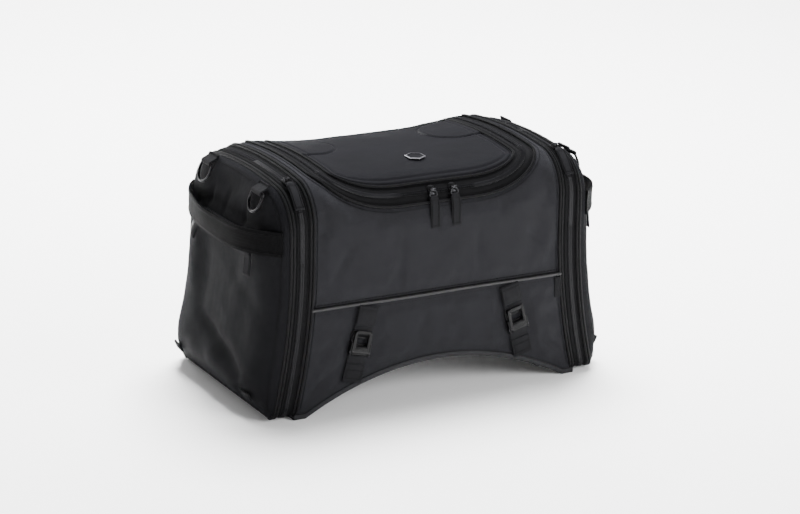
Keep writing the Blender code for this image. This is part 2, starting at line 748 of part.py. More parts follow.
def make_handle(name, side):
    """Webbing handle across the side panel, standing off it between its sewn ends."""
    steps, half = 16, HANDLE_WIDTH / 2
    loops = []
    for k in range(steps + 1):
        t = -1 + 2 * k / steps
        y = t * HANDLE_REACH
        stand = SLIDER_LIFT + HANDLE_STAND * (1 - t**4)
        base = max(side_x(y, HANDLE_Z + half), side_x(y, HANDLE_Z), side_x(y, HANDLE_Z - half))
        near, far = side * (base + stand), side * (base + stand + WEB)
        corners = ((near, -half), (near, half), (far, half), (far, -half))
        loops.append([Vector((x, y, HANDLE_Z + z)) for x, z in corners])
    sweep(f"handle_{name}", loops, "webbing")


def make_pocket(name, side, slider, pull):
    """Side pocket zip: level behind the handle, then curving down towards the rear."""
    steps = 12
    line = [(POCKET_FRONT + (POCKET_BEND - POCKET_FRONT) * k / steps, POCKET_Z) for k in range(steps + 1)]
    for a in (0.3, 0.6, 0.9, 1.2):
        line.append((POCKET_BEND + POCKET_RADIUS * sin(a), POCKET_Z - POCKET_RADIUS * (1 - cos(a))))
    low, high = 0.0006, 0.0018
    loops = []
    for k, (y, z) in enumerate(line):
        behind, ahead = Vector(line[max(0, k - 1)]), Vector(line[min(len(line) - 1, k + 1)])
        along = (ahead - behind).normalized()
        loop = []
        for way, lift in ((-1, low), (1, low), (1, high), (-1, high)):
            yy, zz = y - way * along.y * POCKET_TAPE, z + way * along.x * POCKET_TAPE
            loop.append(Vector((side * (side_x(yy, zz) + lift), yy, zz)))
        loops.append(loop)
    sweep(f"pocket_zip_{name}", loops, "zip")

    def on_tape(y, z):
        return Vector((side * (side_x(y, z) + high + 0.0008), y, z))

    step = 0.004
    across = (on_tape(POCKET_PARK + step, POCKET_Z) - on_tape(POCKET_PARK - step, POCKET_Z)) * side
    up = on_tape(POCKET_PARK, POCKET_Z + step) - on_tape(POCKET_PARK, POCKET_Z - step)
    seat = frame(on_tape(POCKET_PARK, POCKET_Z), across, up)
    slider_pair(f"pocket_{name}", seat, slider, pull, POCKET_DROOP)


def make_loops(name, side):
    """Folded webbing tabs at the bottom corners of a side panel."""
    for place, face in (("front", -1), ("rear", 1)):
        y, z, step = face * 0.098, 0.030, 0.003
        here = Vector((side * side_x(y, z), y, z))
        across = Vector((side * side_x(y + step, z), y + step, z)) - here
        up = Vector((side * side_x(y, z + step), y, z + step)) - here
        seat = frame(here, across * side, up)
        tab = box(f"corner_loop_{name}_{place}", (0.020, 0.011, 0.003), (0, 0, 0.0026), "webbing")
        tab.matrix_world = seat


# ---- lid ----------------------------------------------------------------------------------
def make_lid(slider, pull):
    steps, half, rear = 14, 0.15, LID_REAR + 0.0020
    rows = []
    for r in range(steps + 1):
        s = rear + (LID_FRONT + 0.02 - LID_REAR) * r / steps
        rows.append([over_top(half * (2 * c / steps - 1), s, 0.0006) for c in range(steps + 1)])
    shell = grid("lid_panel", rows, "moulded", thickness=0.0036, inward=(0, 0, 0.1))
    edge = [over_top(p.x, p.y) for p in lid_line(-0.0146)]
    boolean(shell, prism("lid_edge_cutter", edge, 0.15, 0.40), "INTERSECT")
    ribbon("lid_zip_tape", -GAP, -0.0105)
    cord("lid_piping", [over_top(p.x, p.y, 0.0004) for p in lid_line(-0.0127)], 0.0016, "piping")
    pivot("lid_axis", Matrix.Translation((0, HINGE_Y, HINGE_Z)))

    step = 0.004
    for name, x in LID_PARK:
        up = over_top(x, LID_FRONT - step) - over_top(x, LID_FRONT + step)
        seat = frame(over_top(x, LID_FRONT), Vector((1, 0, 0)), up)
        slider_pair(f"lid_{name}", seat, slider, pull, LID_DROOP)

    # plain hexagon badge
    radius, thick, stand = 0.015, 0.0010, 0.0030
    form = bmesh.new()
    bmesh.ops.create_cone(form, cap_ends=True, segments=6, radius1=radius, radius2=radius, depth=thick)
    mesh = bpy.data.meshes.new("lid_badge")
    form.to_mesh(mesh)
    form.free()
    badge = add("lid_badge", mesh, "badge")
    badge.location = over_top(0.006, 0.052) + Vector((0, 0, stand))


def make_label():
    x, z, lift = 0.172, 0.118, 0.0012
    box("seam_label", (0.010, 0.0008, 0.026), (x, -front_depth(z) - lift, z), "webbing")


def main():
    for item in list(bpy.data.objects):
        bpy.data.objects.remove(item)
    slider = slider_mesh()
    pulls = {"expansion": pull_mesh(PULL_LENGTH, EXPANSION_DRAPE), "pocket": pull_mesh(POCKET_PULL)}
    make_body()
    make_straps()
    make_lid(slider, pull_mesh(PULL_LENGTH, LID_DRAPE))
    make_label()
    for name, side in (("left", -1), ("right", 1)):
        make_end(name, side, slider, pulls)


main()
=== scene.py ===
"""Looks of the tail bag: padded nylon, webbing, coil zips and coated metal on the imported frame."""

from math import atan2, cos, pi, radians, sin

import bmesh
import bpy
import numpy as np
from mathutils import Matrix, Vector


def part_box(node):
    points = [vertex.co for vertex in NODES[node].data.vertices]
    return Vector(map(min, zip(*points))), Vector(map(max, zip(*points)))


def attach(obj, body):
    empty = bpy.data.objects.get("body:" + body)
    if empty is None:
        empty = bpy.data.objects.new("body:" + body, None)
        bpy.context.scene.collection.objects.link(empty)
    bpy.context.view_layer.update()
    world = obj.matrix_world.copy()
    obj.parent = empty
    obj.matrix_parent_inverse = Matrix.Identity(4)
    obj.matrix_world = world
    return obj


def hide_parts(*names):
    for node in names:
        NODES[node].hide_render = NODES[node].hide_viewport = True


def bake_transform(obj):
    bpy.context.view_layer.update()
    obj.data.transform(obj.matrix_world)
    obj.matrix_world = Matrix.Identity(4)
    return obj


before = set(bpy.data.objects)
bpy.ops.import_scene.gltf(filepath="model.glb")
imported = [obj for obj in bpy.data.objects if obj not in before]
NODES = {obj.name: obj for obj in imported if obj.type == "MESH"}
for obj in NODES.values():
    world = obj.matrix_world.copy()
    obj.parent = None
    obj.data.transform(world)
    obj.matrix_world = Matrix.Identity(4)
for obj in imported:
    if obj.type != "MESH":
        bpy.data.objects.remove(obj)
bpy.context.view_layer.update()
SIDES = (("left", -1), ("right", 1))

# ---- the bag's shape, in metres ------------------------------------------------------------
EDGING = 0.0019
HALF_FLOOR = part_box("base_panel")[1].x + 0.0004
DEPTH_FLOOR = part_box("base_panel")[1].y
HALF_TOP, FLARE_TOP, DEPTH_TOP = 0.1735, 0.20, 0.129
CROWN, SADDLE, SADDLE_FLAT, SADDLE_END, SHOULDER_DROP = 0.287, 0.0095, 0.05, 0.15, 0.0099
CORNER, DOME_TILT, FOOT_ROUND, END_LIFT = 0.0516, 0.128, 0.012, 0.0030
ARCH_HALF, ARCH_RISE, WALL_START = 0.183, 0.0493, 0.0040
SEAM_Z = (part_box("reflective_piping")[0].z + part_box("reflective_piping")[1].z) / 2
END_BAND, PANEL_EDGE = 0.0284, 0.0292
PANEL_INSET = 0.0004  # the body's fabric ends this far inside its seams
BULGE, BULGE_TAPER, TUCK_Z, SIDE_CENTRE_Z = 0.046, 0.35, 0.060, 0.135
LID_HALF, LID_FRONT, LID_SHOULDER, LID_STRAIGHT, LID_CURVE = 0.1418, 0.1242, 0.0756, 0.05, 2.35
LID_REAR = -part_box("lid_panel")[1].y - 0.002
FABRIC, WEB = 0.0026, 0.0018
ZIP_TAPE, THIN_WEB, THIN_CORD, CORD = 0.0009, 0.0006, 0.0016, 0.0019
HANDLE_Z, HANDLE_WIDTH, HANDLE_REACH, HANDLE_STAND, HANDLE_END = 0.222, 0.030, 0.118, 0.016, 0.1262
RING_Y, RING_Z, RING_TAB = 0.072, 0.2745, 0.024
RING_WIDTH, RING_HEIGHT, RING_WIRE, RING_CORNER = 0.033, 0.028, 0.0017, 0.0022
LOOP_Y, LOOP_Z, LOOP_REACH = 0.098, 0.030, 0.0102
POCKET_Z, POCKET_FRONT, POCKET_BEND, POCKET_RADIUS, POCKET_PARK = 0.2145, -0.100, 0.038, 0.055, -0.085
STRAP_WIDTH, STRAP_TILT, BUCKLE_X, BUCKLE_Z = 0.025, radians(14), 0.110, 0.086
BUCKLE_WIDTH, BUCKLE_HEIGHT, BUCKLE_PLATE, BUCKLE_RAIL, BUCKLE_LIFT = 0.028, 0.030, 0.0020, 0.0016, 0.0012
PIN_V, PIN_H, PIN_RADIUS, LEVER_LENGTH, LEVER_CENTRE = -0.0110, 0.0060, 0.0010, 0.0300, 0.0123
PIN_LIFT, PULL_WIDTH, PULL_LENGTH, POCKET_PULL = 0.0062, 0.0125, 0.0525, 0.0425
LID_DRAPE, EXPANSION_DRAPE = 0.110, 0.075
LID_DROOP, EXPANSION_DROOP, POCKET_DROOP = radians(19), radians(18), radians(3)
EXPANSION_PARK, EXPANSION_DX, LID_PARK = radians(82), 0.0142, (-0.008, 0.0215)
TONGUE_X, TONGUE_S, TONGUE_RADIUS, TONGUE_END = 0.109, -0.038, 0.0445, 0.127

# ---- grids and the cloth run ---------------------------------------------------------------
COARSE = 3  # the simulated grid takes every third point
BODY_COLUMNS, WALL_POINTS, TOP_POINTS = COARSE * 52 + 1, COARSE * 13, COARSE * 39
REAR_POINTS, LOWER_POINTS = COARSE * 25 + 1, COARSE * 15 + 1
SIDE_RINGS, SIDE_SPOKES = COARSE * 20 + 1, COARSE * 90
LID_COLUMNS, LID_ROWS = COARSE * 72 + 1, COARSE * 58 + 1
SIM_FRAMES, PIN_BELOW, MOST_SAG, NEAREST_BATCH = 20, 0.02, 0.0030, 4000
INNER_POINT = (0, 0, 0.12)  # a point inside the bag, for telling a panel's two faces apart

DOME = (DEPTH_TOP - CORNER + CORNER * sin(DOME_TILT)) / sin(DOME_TILT)
DOME_RISE = DOME * (1 - cos(DOME_TILT))
ARC_DOME = DOME * DOME_TILT
ARC_CORNER = ARC_DOME + CORNER * (pi / 2 - DOME_TILT)

# ---- small array helpers -------------------------------------------------------------------


def unit(vectors):
    length = np.linalg.norm(vectors, axis=-1, keepdims=True)
    return vectors / np.maximum(length, 1e-12)


def resampled(path, count=None, pitch=None, closed=False):
    """Points at equal steps along a polyline."""
    path = np.asarray(path, float)
    if closed:
        path = np.vstack([path, path[:1]])
    run = np.concatenate([[0], np.cumsum(np.linalg.norm(np.diff(path, axis=0), axis=1))])
    if count is None:
        count = max(2, int(round(run[-1] / pitch)) + 1)
    at = np.linspace(0, run[-1], count, endpoint=not closed)
    return np.stack([np.interp(at, run, path[:, k]) for k in range(path.shape[1])], axis=1)


def tangents(path, closed=False):
    if closed:
        return unit(np.roll(path, -1, axis=0) - np.roll(path, 1, axis=0))
    return unit(np.gradient(path, axis=0))


def grid_normals(points):
    """Unit normals of a grid of points, facing along rows cross columns."""
    down, along = np.gradient(points, axis=(0, 1))
    return unit(np.cross(along, down))


def smoothstep(low, high, value):
    t = np.clip((value - low) / (high - low), 0, 1)
    return t * t * (3 - 2 * t)


def ripples(u, v, seed, scale, octaves=3):
    """Smooth repeatable noise, about -1 to 1, from a few rotated sine products."""
    made = np.zeros(np.broadcast(u, v).shape)
    random = np.random.RandomState(seed)
    for k in range(octaves):
        for _ in range(3):
            turn, phase_a, phase_b = random.uniform(0, 2 * pi, 3)
            a = (u * cos(turn) + v * sin(turn)) / scale * 2**k
            b = (-u * sin(turn) + v * cos(turn)) / scale * 1.7**k
            made += np.sin(a * 2 * pi + phase_a + np.sin(b * 2 * pi + phase_b)) / 2**k / 3
    return made / 1.75


# ---- the bag's surface ---------------------------------------------------------------------
def half_width(z):
    return HALF_TOP + (HALF_FLOOR - HALF_TOP) * np.maximum(0.0, 1 - np.asarray(z) / FLARE_TOP) ** 2


def crown(x):
    x = np.abs(x)
    slope = SADDLE_END - SADDLE_FLAT
    rise = SADDLE * (np.clip(x - SADDLE_FLAT, 0, slope) / slope) ** 2
    edge = HALF_TOP + END_BAND - SADDLE_END
    return CROWN + rise - SHOULDER_DROP * (np.maximum(0.0, x - SADDLE_END) / edge) ** 1.6


def corner_z(x):
    return crown(x) - DOME_RISE - CORNER * cos(DOME_TILT)


def arch(x):
    return ARCH_RISE * np.maximum(0.0, 1 - (np.asarray(x) / ARCH_HALF) ** 2)


def wrap(x, s, out=0.0):
    """y and z of the wrap at x on the top, s along it from the crown line, positive to the front."""
    x, s = np.broadcast_arrays(np.asarray(x, float), np.asarray(s, float))
    a, high = np.abs(s), corner_z(x)
    tilt = np.minimum(a, ARC_DOME) / DOME
    y_dome, z_dome = (DOME + out) * np.sin(tilt), crown(x) + out - (DOME + out) * (1 - np.cos(tilt))
    turn = DOME_TILT + np.clip(a - ARC_DOME, 0, ARC_CORNER - ARC_DOME) / CORNER
    y_round = DEPTH_TOP - CORNER + (CORNER + out) * np.sin(turn)
    z_round = high + (CORNER + out) * np.cos(turn)
    down = np.maximum(a - ARC_CORNER, 0)
    y_wall, z_wall = DEPTH_TOP + out + (DEPTH_FLOOR - DEPTH_TOP) * down / high, high - down
    on_dome, on_round = a <= ARC_DOME, a <= ARC_CORNER
    y = np.where(on_dome, y_dome, np.where(on_round, y_round, y_wall))
    z = np.where(on_dome, z_dome, np.where(on_round, z_round, z_wall))
    return -np.sign(s) * y, z


def over_top(x, s, out=0.0):
    y, z = wrap(x, s, out)
    return np.stack(np.broadcast_arrays(np.asarray(x, float), y, z), axis=-1)


def over_line(line, out=0.0):
    """Points on the wrap for rows of (x, s)."""
    return over_top(line[:, 0], line[:, 1], out)


def front_depth(z):
    return DEPTH_TOP + (DEPTH_FLOOR - DEPTH_TOP) * (1 - z / corner_z(0.0))


def end_path(side, dx, out=0.0, count=260):
    """The bag's outline at one end, dx beyond the main body, from the front foot to the rear foot."""
    x = HALF_TOP + dx
    turn = np.linspace(0, pi / 2, 8)
    low = corner_z(x) - END_LIFT - FOOT_ROUND
    top = np.linspace(-ARC_CORNER - low, ARC_CORNER + low, 400)[::-1]
    y, z = wrap(x, top, out)
    foot_y = DEPTH_FLOOR - FOOT_ROUND + (FOOT_ROUND + out) * np.sin(turn)
    foot_z = END_LIFT + FOOT_ROUND - (FOOT_ROUND + out) * np.cos(turn)
    y = np.concatenate([-foot_y[:-1], y, foot_y[:-1][::-1]])
    z = np.concatenate([foot_z[:-1], z, foot_z[:-1][::-1]])
    path = np.stack([side * (half_width(z) + dx), y, z], axis=1)
    return resampled(path, count)


def side_outline():
    """Closed outline (y, z) of a side panel."""
    loop = end_path(1, END_BAND)[:, 1:]
    floor = np.linspace(loop[-1], loop[0], 12)[1:-1]
    return np.vstack([loop, floor])


OUTLINE = side_outline()


def swell(f, z):
    tuck = (1 - (1 - np.clip(z / TUCK_Z, 0, 1)) ** 2) ** 0.8
    return BULGE * np.sqrt(np.maximum(0.0, 1 - f**2.6)) * (1 - BULGE_TAPER * z / CROWN) * tuck


def side_x(y, z):
    """Distance of the side panels' surface from the bag's middle plane."""
    y, z = np.broadcast_arrays(np.asarray(y, float), np.asarray(z, float))
    dy, dz = y.ravel(), z.ravel() - SIDE_CENTRE_Z
    reach = np.hypot(dy, dz)
    ya, za = OUTLINE[:, 0], OUTLINE[:, 1] - SIDE_CENTRE_Z
    ey, ez = np.roll(ya, -1) - ya, np.roll(za, -1) - za
    cy, cz = dy / np.maximum(reach, 1e-9), dz / np.maximum(reach, 1e-9)
    den = cy[:, None] * ez - cz[:, None] * ey
    den = np.where(np.abs(den) < 1e-12, 1e-12, den)
    t = (cz[:, None] * ya - cy[:, None] * za) / den
    along = cy[:, None] * (ya + t * ey) + cz[:, None] * (za + t * ez)
    edge = np.where((t >= -1e-6) & (t <= 1 + 1e-6) & (along > 0), along, 0).max(axis=1)
    f = np.clip(reach / np.maximum(edge, 1e-6), 0, 1).reshape(y.shape)
    return half_width(z) + PANEL_EDGE + swell(f, z)


def on_side(side, y, z, lift=0.0):
    """Points on a side panel, raised along its normal."""
    y, z = np.broadcast_arrays(np.asarray(y, float), np.asarray(z, float))
    step = 0.0015
    x = side_x(y, z)
    slope_y = (side_x(y + step, z) - side_x(y - step, z)) / (2 * step)
    slope_z = (side_x(y, z + step) - side_x(y, z - step)) / (2 * step)
    normal = unit(np.stack([np.ones_like(x), -slope_y, -slope_z], axis=-1))
    point = np.stack([x, y, z], axis=-1) + normal * np.asarray(lift)[..., None]
    mirror = np.array([side, 1, 1])
    return point * mirror, normal * mirror


def lid_line(offset, pitch=0.003):
    """The U of the lid zip as (x, s), from the left rear round the front to the right rear."""
    t = np.linspace(0, pi / 2, 60)
    x = LID_STRAIGHT + (LID_HALF - LID_STRAIGHT) * np.cos(t) ** (2 / LID_CURVE)
    s = LID_SHOULDER + (LID_FRONT - LID_SHOULDER) * np.sin(t) ** (2 / LID_CURVE)
    leg = np.stack([np.full(12, LID_HALF), np.linspace(LID_REAR, LID_SHOULDER, 12)], axis=1)
    right = np.vstack([leg[:-1], np.stack([x, s], axis=1)])
    whole = np.vstack([right * (-1, 1), [[0, LID_FRONT]], right[::-1]])
    whole = resampled(whole, pitch=pitch)
    along = tangents(whole)
    along[0], along[-1] = (0, 1), (0, -1)
    return whole + offset * np.stack([-along[:, 1], along[:, 0]], axis=1)


# ---- mesh builders -------------------------------------------------------------------------
def linked(name, data):
    """A new object in the scene for a mesh, a light or a camera."""
    made = bpy.data.objects.new(name, data)
    bpy.context.scene.collection.objects.link(made)
    return made


def from_form(name, form, material, sharp=None):
    """A finished bmesh as a smooth object. Edges above the angle sharp stay crisp."""
    mesh = bpy.data.meshes.new(name)
    form.to_mesh(mesh)
    form.free()
    mesh.shade_smooth()
    if sharp:
        mesh.set_sharp_from_angle(angle=radians(sharp))
    mesh.materials.append(material)
    return linked(name, mesh)


def faced_out(mesh, sharp):
    """Turns a closed mesh's faces outwards and keeps its edges above the angle sharp crisp."""
    form = bmesh.new()
    form.from_mesh(mesh)
    bmesh.ops.recalc_face_normals(form, faces=form.faces)
    form.to_mesh(mesh)
    form.free()
    mesh.set_sharp_from_angle(angle=radians(sharp))


def mesh_object(name, points, faces, material, uv=None):
    mesh = bpy.data.meshes.new(name)
    points = np.asarray(points, float).reshape(-1, 3)
    mesh.from_pydata(points.tolist(), [], [tuple(int(i) for i in face) for face in faces])
    if uv is not None:
        layer = mesh.uv_layers.new(name="UVMap")
        index = np.empty(len(mesh.loops), np.int32)
        mesh.loops.foreach_get("vertex_index", index)
        layer.data.foreach_set("uv", np.asarray(uv, np.float32).reshape(-1, 2)[index].ravel())
    mesh.shade_smooth()
    mesh.materials.append(material)
    return linked(name, mesh)


def grid_faces(rows, cols):
    index = np.arange(rows * cols).reshape(rows, cols)
    quads = np.stack([index[:-1, :-1], index[:-1, 1:], index[1:, 1:], index[1:, :-1]], axis=-1)
    return quads.reshape(-1, 4).tolist()


def metric_uv(points):
    """Lengths along the rows and columns of a grid of points, so that a weave keeps its scale."""
    across = np.linalg.norm(np.diff(points, axis=1), axis=2).mean(axis=0)
    down = np.linalg.norm(np.diff(points, axis=0), axis=2).mean(axis=1)
    u, v = np.concatenate([[0], np.cumsum(across)]), np.concatenate([[0], np.cumsum(down)])
    return np.stack(np.meshgrid(u, v), axis=-1)


def sheet_shell(name, points, thickness, material, inward, keep=None):
    """A closed fabric panel from a grid of points and its thickness. keep marks the faces that stay."""
    rows, cols = points.shape[:2]
    normal = grid_normals(points)
    centre = (rows // 2, cols // 2)
    if np.dot(normal[centre], np.asarray(inward) - points[centre]) > 0:
        normal = -normal
    count = rows * cols
    faces = np.array(grid_faces(rows, cols))
    if keep is not None:
        faces = faces[keep.reshape(-1)]
    sample = faces[len(faces) // 2]
    a, b, c = points.reshape(-1, 3)[sample[:3]]
    turned = np.dot(np.cross(b - a, c - b), normal.reshape(-1, 3)[sample[0]]) < 0
    outer = faces[:, ::-1] if turned else faces
    edges = dict.fromkeys((a, b) for face in outer.tolist() for a, b in zip(face, face[1:] + face[:1]))
    rim = [(a, b) for a, b in edges if (b, a) not in edges]
    walls = [(b, a, a + count, b + count) for a, b in rim]
    inner = (outer[:, ::-1] + count).tolist()
    both = np.concatenate([points.reshape(-1, 3), (points - normal * thickness).reshape(-1, 3)])
    uv = metric_uv(points).reshape(-1, 2)
    made = mesh_object(name, both, outer.tolist() + inner + walls, material, np.concatenate([uv, uv]))
    tidy(made)
    return made


def tidy(piece):
    """Drops the points that no face uses and keeps the fabric's cut edges crisp."""
    form = bmesh.new()
    form.from_mesh(piece.data)
    loose = [v for v in form.verts if not v.link_faces]
    bmesh.ops.delete(form, geom=loose, context="VERTS")
    form.to_mesh(piece.data)
    form.free()
    piece.data.set_sharp_from_angle(angle=radians(50))


def swept(name, loops, material, closed=False, sharp=50):
    """A closed solid through loops of points, an array of (loops, points, 3)."""
    loops = np.asarray(loops, float)
    count, sides = loops.shape[:2]
    index = np.arange(count * sides).reshape(count, sides)
    ahead = np.roll(index, -1, axis=0) if closed else index[1:]
    here = index if closed else index[:-1]
    quads = np.stack([here, np.roll(here, -1, axis=1), np.roll(ahead, -1, axis=1), ahead], axis=-1)
    faces = quads.reshape(-1, 4).tolist()
    if not closed:
        faces += [index[0].tolist()[::-1], index[-1].tolist()]
    run = np.linalg.norm(np.diff(loops.mean(axis=1), axis=0), axis=1)
    v = np.concatenate([[0], np.cumsum(run)])
    girth = np.linalg.norm(np.roll(loops, -1, axis=1) - loops, axis=2).mean(axis=0)
    u = np.concatenate([[0], np.cumsum(girth)[:-1]])
    made = mesh_object(name, loops, faces, material, np.stack(np.meshgrid(u, v), axis=-1))
    faced_out(made.data, sharp)
    return made


def tube(name, path, radius, material, sides=12, closed=False):
    """Round piping along a path, with the frame carried along it."""
    path = np.asarray(path, float)
    along = tangents(path, closed)
    normal = np.cross(along[0], [0.31, 0.52, 0.79])
    side_dirs = []
    for t in along:
        normal = normal - np.dot(normal, t) * t
        normal = normal / np.linalg.norm(normal)
        side_dirs.append(normal)
    side_dirs = np.array(side_dirs)
    other = np.cross(along, side_dirs)
    turn = np.linspace(0, 2 * pi, sides, endpoint=False)
    loops = path[:, None] + radius * (
        np.cos(turn)[:, None] * side_dirs[:, None] + np.sin(turn)[:, None] * other[:, None]
    )
    return swept(name, loops, material, closed, sharp=70)


def band(name, centres, across, normals, width, thickness, material, crown_rise=0.0):
    """Flat webbing or tape with rounded edges, its lower face on the given points."""
    profile = [(-1.0, 0.25), (-0.94, 0.0), (0.94, 0.0), (1.0, 0.25), (1.0, 0.75)]
    profile += [(0.94, 1.0), (0.5, 1.0), (0.0, 1.0), (-0.5, 1.0), (-0.94, 1.0), (-1.0, 0.75)]
    loops = []
    for a, h in profile:
        lift = h * thickness + (crown_rise * (1 - a * a) if h == 1.0 else 0.0)
        loops.append(centres + across * width / 2 * a + normals * lift)
    return swept(name, np.stack(loops, axis=1), material)


def scattered(name, template, faces, origins, frames, material):
    """Copies of a small shape in one mesh. frames holds each copy's three axes as rows."""
    template = np.asarray(template, float)
    points = origins[:, None] + np.einsum("vk,nkd->nvd", template, frames)
    count = len(template)
    many = [[i + n * count for i in face] for n in range(len(origins)) for face in faces]
    uv = np.tile(template[:, :2], (len(origins), 1))
    return mesh_object(name, points, many, material, uv)


def capsule(length, radius, flat=1.0, sides=6):
    """Points and faces of a rounded rod along the second axis."""
    stations = [(-0.5, 0.35), (-0.38, 0.9), (0.0, 1.0), (0.38, 0.9), (0.5, 0.35)]
    points = []
    for at, girth in stations:
        for k in range(sides):
            turn = 2 * pi * k / sides
            reach = radius * girth
            points.append((reach * cos(turn), at * length, reach * flat * sin(turn)))
    faces = []
    for r in range(len(stations) - 1):
        for k in range(sides):
            a, b = r * sides + k, r * sides + (k + 1) % sides
            faces.append((a, b, b + sides, a + sides))
    faces.append(tuple(range(sides)))
    faces.append(tuple(reversed(range((len(stations) - 1) * sides, len(stations) * sides))))
    return points, [tuple(reversed(face)) for face in faces]


STITCH = capsule(0.0026, 0.00034, 0.75, 5)
# Larger, flatter stitches for the upper front seam: real stitches, enlarged so their dark thread also paints
# the shade of the needle holes.
STITCH_WITH_HOLE_SHADE = capsule(0.0026, 0.00075, 0.5, 6)
STITCH_LIFT = 0.0001
TOOTH = capsule(0.0036, 0.00082, 1.0, 6)
TOOTH_PITCH, TOOTH_AWAY, TOOTH_LIFT = 0.0028, 0.0012, 0.0004


def stitches(name, path, normals, pitch=0.0040, form=STITCH):
    """A row of thread stitches along a path on the fabric. normals is one direction or one for each point."""
    both = resampled(np.hstack([path, np.broadcast_to(normals, path.shape)]), pitch=pitch)
    points, up = both[:, :3], unit(both[:, 3:])
    along = tangents(points)
    side_dir = unit(np.cross(along, up))
    up = np.cross(side_dir, along)
    frames = np.stack([side_dir, along, up], axis=1)
    return scattered(name, *form, points + up * STITCH_LIFT, frames, THREAD)


def zip_teeth(name, path, across, normals, phase=0.0):
    """The coil of one half of a zip. across points from the zip's centre line to this half."""
    both = resampled(np.hstack([path, across, normals]), pitch=TOOTH_PITCH)
    shift = np.gradient(both[:, :3], axis=0) * phase
    points, away, up = both[:, :3] + shift, unit(both[:, 3:6]), unit(both[:, 6:9])
    along = unit(np.cross(up, away))
    frames = np.stack([along, away, up], axis=1)
    return scattered(name, *TOOTH, points + away * TOOTH_AWAY + up * TOOTH_LIFT, frames, COIL)


def cube(name, size, centre, material, bevel=0.0004, segments=2, taper=1.0):
    """A box with rounded edges."""
    form = bmesh.new()
    bmesh.ops.create_cube(form, size=1)
    for v in form.verts:
        v.co = Vector((v.co.x * size[0], v.co.y * size[1], v.co.z * size[2]))
        if v.co.z > 0:
            v.co.x, v.co.y = v.co.x * taper, v.co.y * taper
        v.co += Vector(centre)
    bmesh.ops.bevel(form, geom=form.edges, offset=bevel, segments=segments, profile=0.6, affect="EDGES")
    return from_form(name, form, material)


def rod(name, radius, length, centre, material, sides=20):
    """A round bar along x."""
    form = bmesh.new()
    turn = Matrix.Rotation(pi / 2, 4, "Y")
    bmesh.ops.create_cone(
        form, cap_ends=True, segments=sides, radius1=radius, radius2=radius, depth=length,
        matrix=Matrix.Translation(centre) @ turn,
    )
    return from_form(name, form, material, 40)


def joined(name, pieces):
    """Several objects as one, each keeping its material."""
    bpy.context.view_layer.update()
    graph = bpy.context.evaluated_depsgraph_get()
    form, slots = bmesh.new(), []
    for piece in pieces:
        mesh = bpy.data.meshes.new_from_object(piece.evaluated_get(graph))
        mesh.transform(piece.matrix_world)
        offset = {}
        for k, material in enumerate(mesh.materials):
            if material not in slots:
                slots.append(material)
            offset[k] = slots.index(material)
        for polygon in mesh.polygons:
            polygon.material_index = offset[polygon.material_index]
        form.from_mesh(mesh)
        bpy.data.meshes.remove(mesh)
    made_mesh = bpy.data.meshes.new(name)
    form.to_mesh(made_mesh)
    form.free()
    for material in slots:
        made_mesh.materials.append(material)
    for piece in pieces:
        bpy.data.objects.remove(piece)
    return linked(name, made_mesh)


def cut(piece, cutters):
    """The piece with the cutters' space taken out of it."""
    for cutter in cutters:
        step = piece.modifiers.new("cut", "BOOLEAN")
        step.operation, step.object = "DIFFERENCE", cutter
    bpy.context.view_layer.update()
    graph = bpy.context.evaluated_depsgraph_get()
    mesh = bpy.data.meshes.new_from_object(piece.evaluated_get(graph))
    piece.modifiers.clear()
    piece.data = mesh
    for cutter in cutters:
        bpy.data.objects.remove(cutter)
    return piece


def place(piece, body, *replaced, slot):
    """Rides a piece on a body, in place of the CAD nodes named. slot is not used."""
    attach(piece, body)
    if replaced:
        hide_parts(*replaced)


def sew(name, row, up, body, slot, pitch=0.0040, form=STITCH):
    place(stitches(name, row, up, pitch, form), body, slot=slot)


# ---- materials -----------------------------------------------------------------------------
class Nodes:
    """Short ways to add and join a material's nodes."""

    def __init__(self, name):
        self.material = bpy.data.materials.new(name)
        self.material.use_nodes = True
        self.tree = self.material.node_tree
        self.shader = self.tree.nodes["Principled BSDF"]

    def add(self, kind, settings=(), **inputs):
        node = self.tree.nodes.new("ShaderNode" + kind)
        for key, value in dict(settings).items():
            setattr(node, key, value)
        for key, value in inputs.items():
            self.feed(node.inputs[int(key[1:]) if key[0] == "_" else key.replace("_", " ")], value)
        return node

    def feed(self, socket, value):
        if isinstance(value, bpy.types.NodeSocket):
            self.tree.links.new(value, socket)
        else:
            socket.default_value = value

    def math(self, operation, a, b=0.0, c=0.0):
        return self.add("Math", {"operation": operation}, _0=a, _1=b, _2=c).outputs[0]

    def place(self, space="UV"):
        """Coordinates in metres, over the cloth or in the object's own frame."""
        return self.add("TexCoord").outputs[space]

    def axes(self, place):
        split = self.add("SeparateXYZ", _0=place)
        return split.outputs[0], split.outputs[1], split.outputs[2]

    def noise(self, place, size, detail=3.0, roughness=0.55):
        node = self.add("TexNoise", Vector=place, Scale=1 / size, Detail=detail, Roughness=roughness)
        return node.outputs[0]

    def ribs(self, coordinate, pitch, shift=0.0):
        """Rounded ridges, one every pitch."""
        turn = self.math("MULTIPLY_ADD", coordinate, pi / pitch, shift)
        return self.math("ABSOLUTE", self.math("SINE", turn))

    def between(self, value, low, high):
        return self.add("MapRange", _0=value, _3=low, _4=high).outputs[0]

    def tint(self, factor, dark, light):
        return self.add("Mix", {"data_type": "RGBA"}, _0=factor, _6=(*dark, 1), _7=(*light, 1)).outputs[2]

    def bump(self, height, depth, strength=1.0, below=None):
        node = self.add("Bump", Height=height, Distance=depth, Strength=strength)
        if below is not None:
            self.feed(node.inputs["Normal"], below)
        return node.outputs[0]

    def finish(self, **sockets):
        for key, value in sockets.items():
            self.feed(self.shader.inputs[key.replace("_", " ")], value)
        return self.material


def grey(value, blue=1.0):
    return (value, value, value * blue)


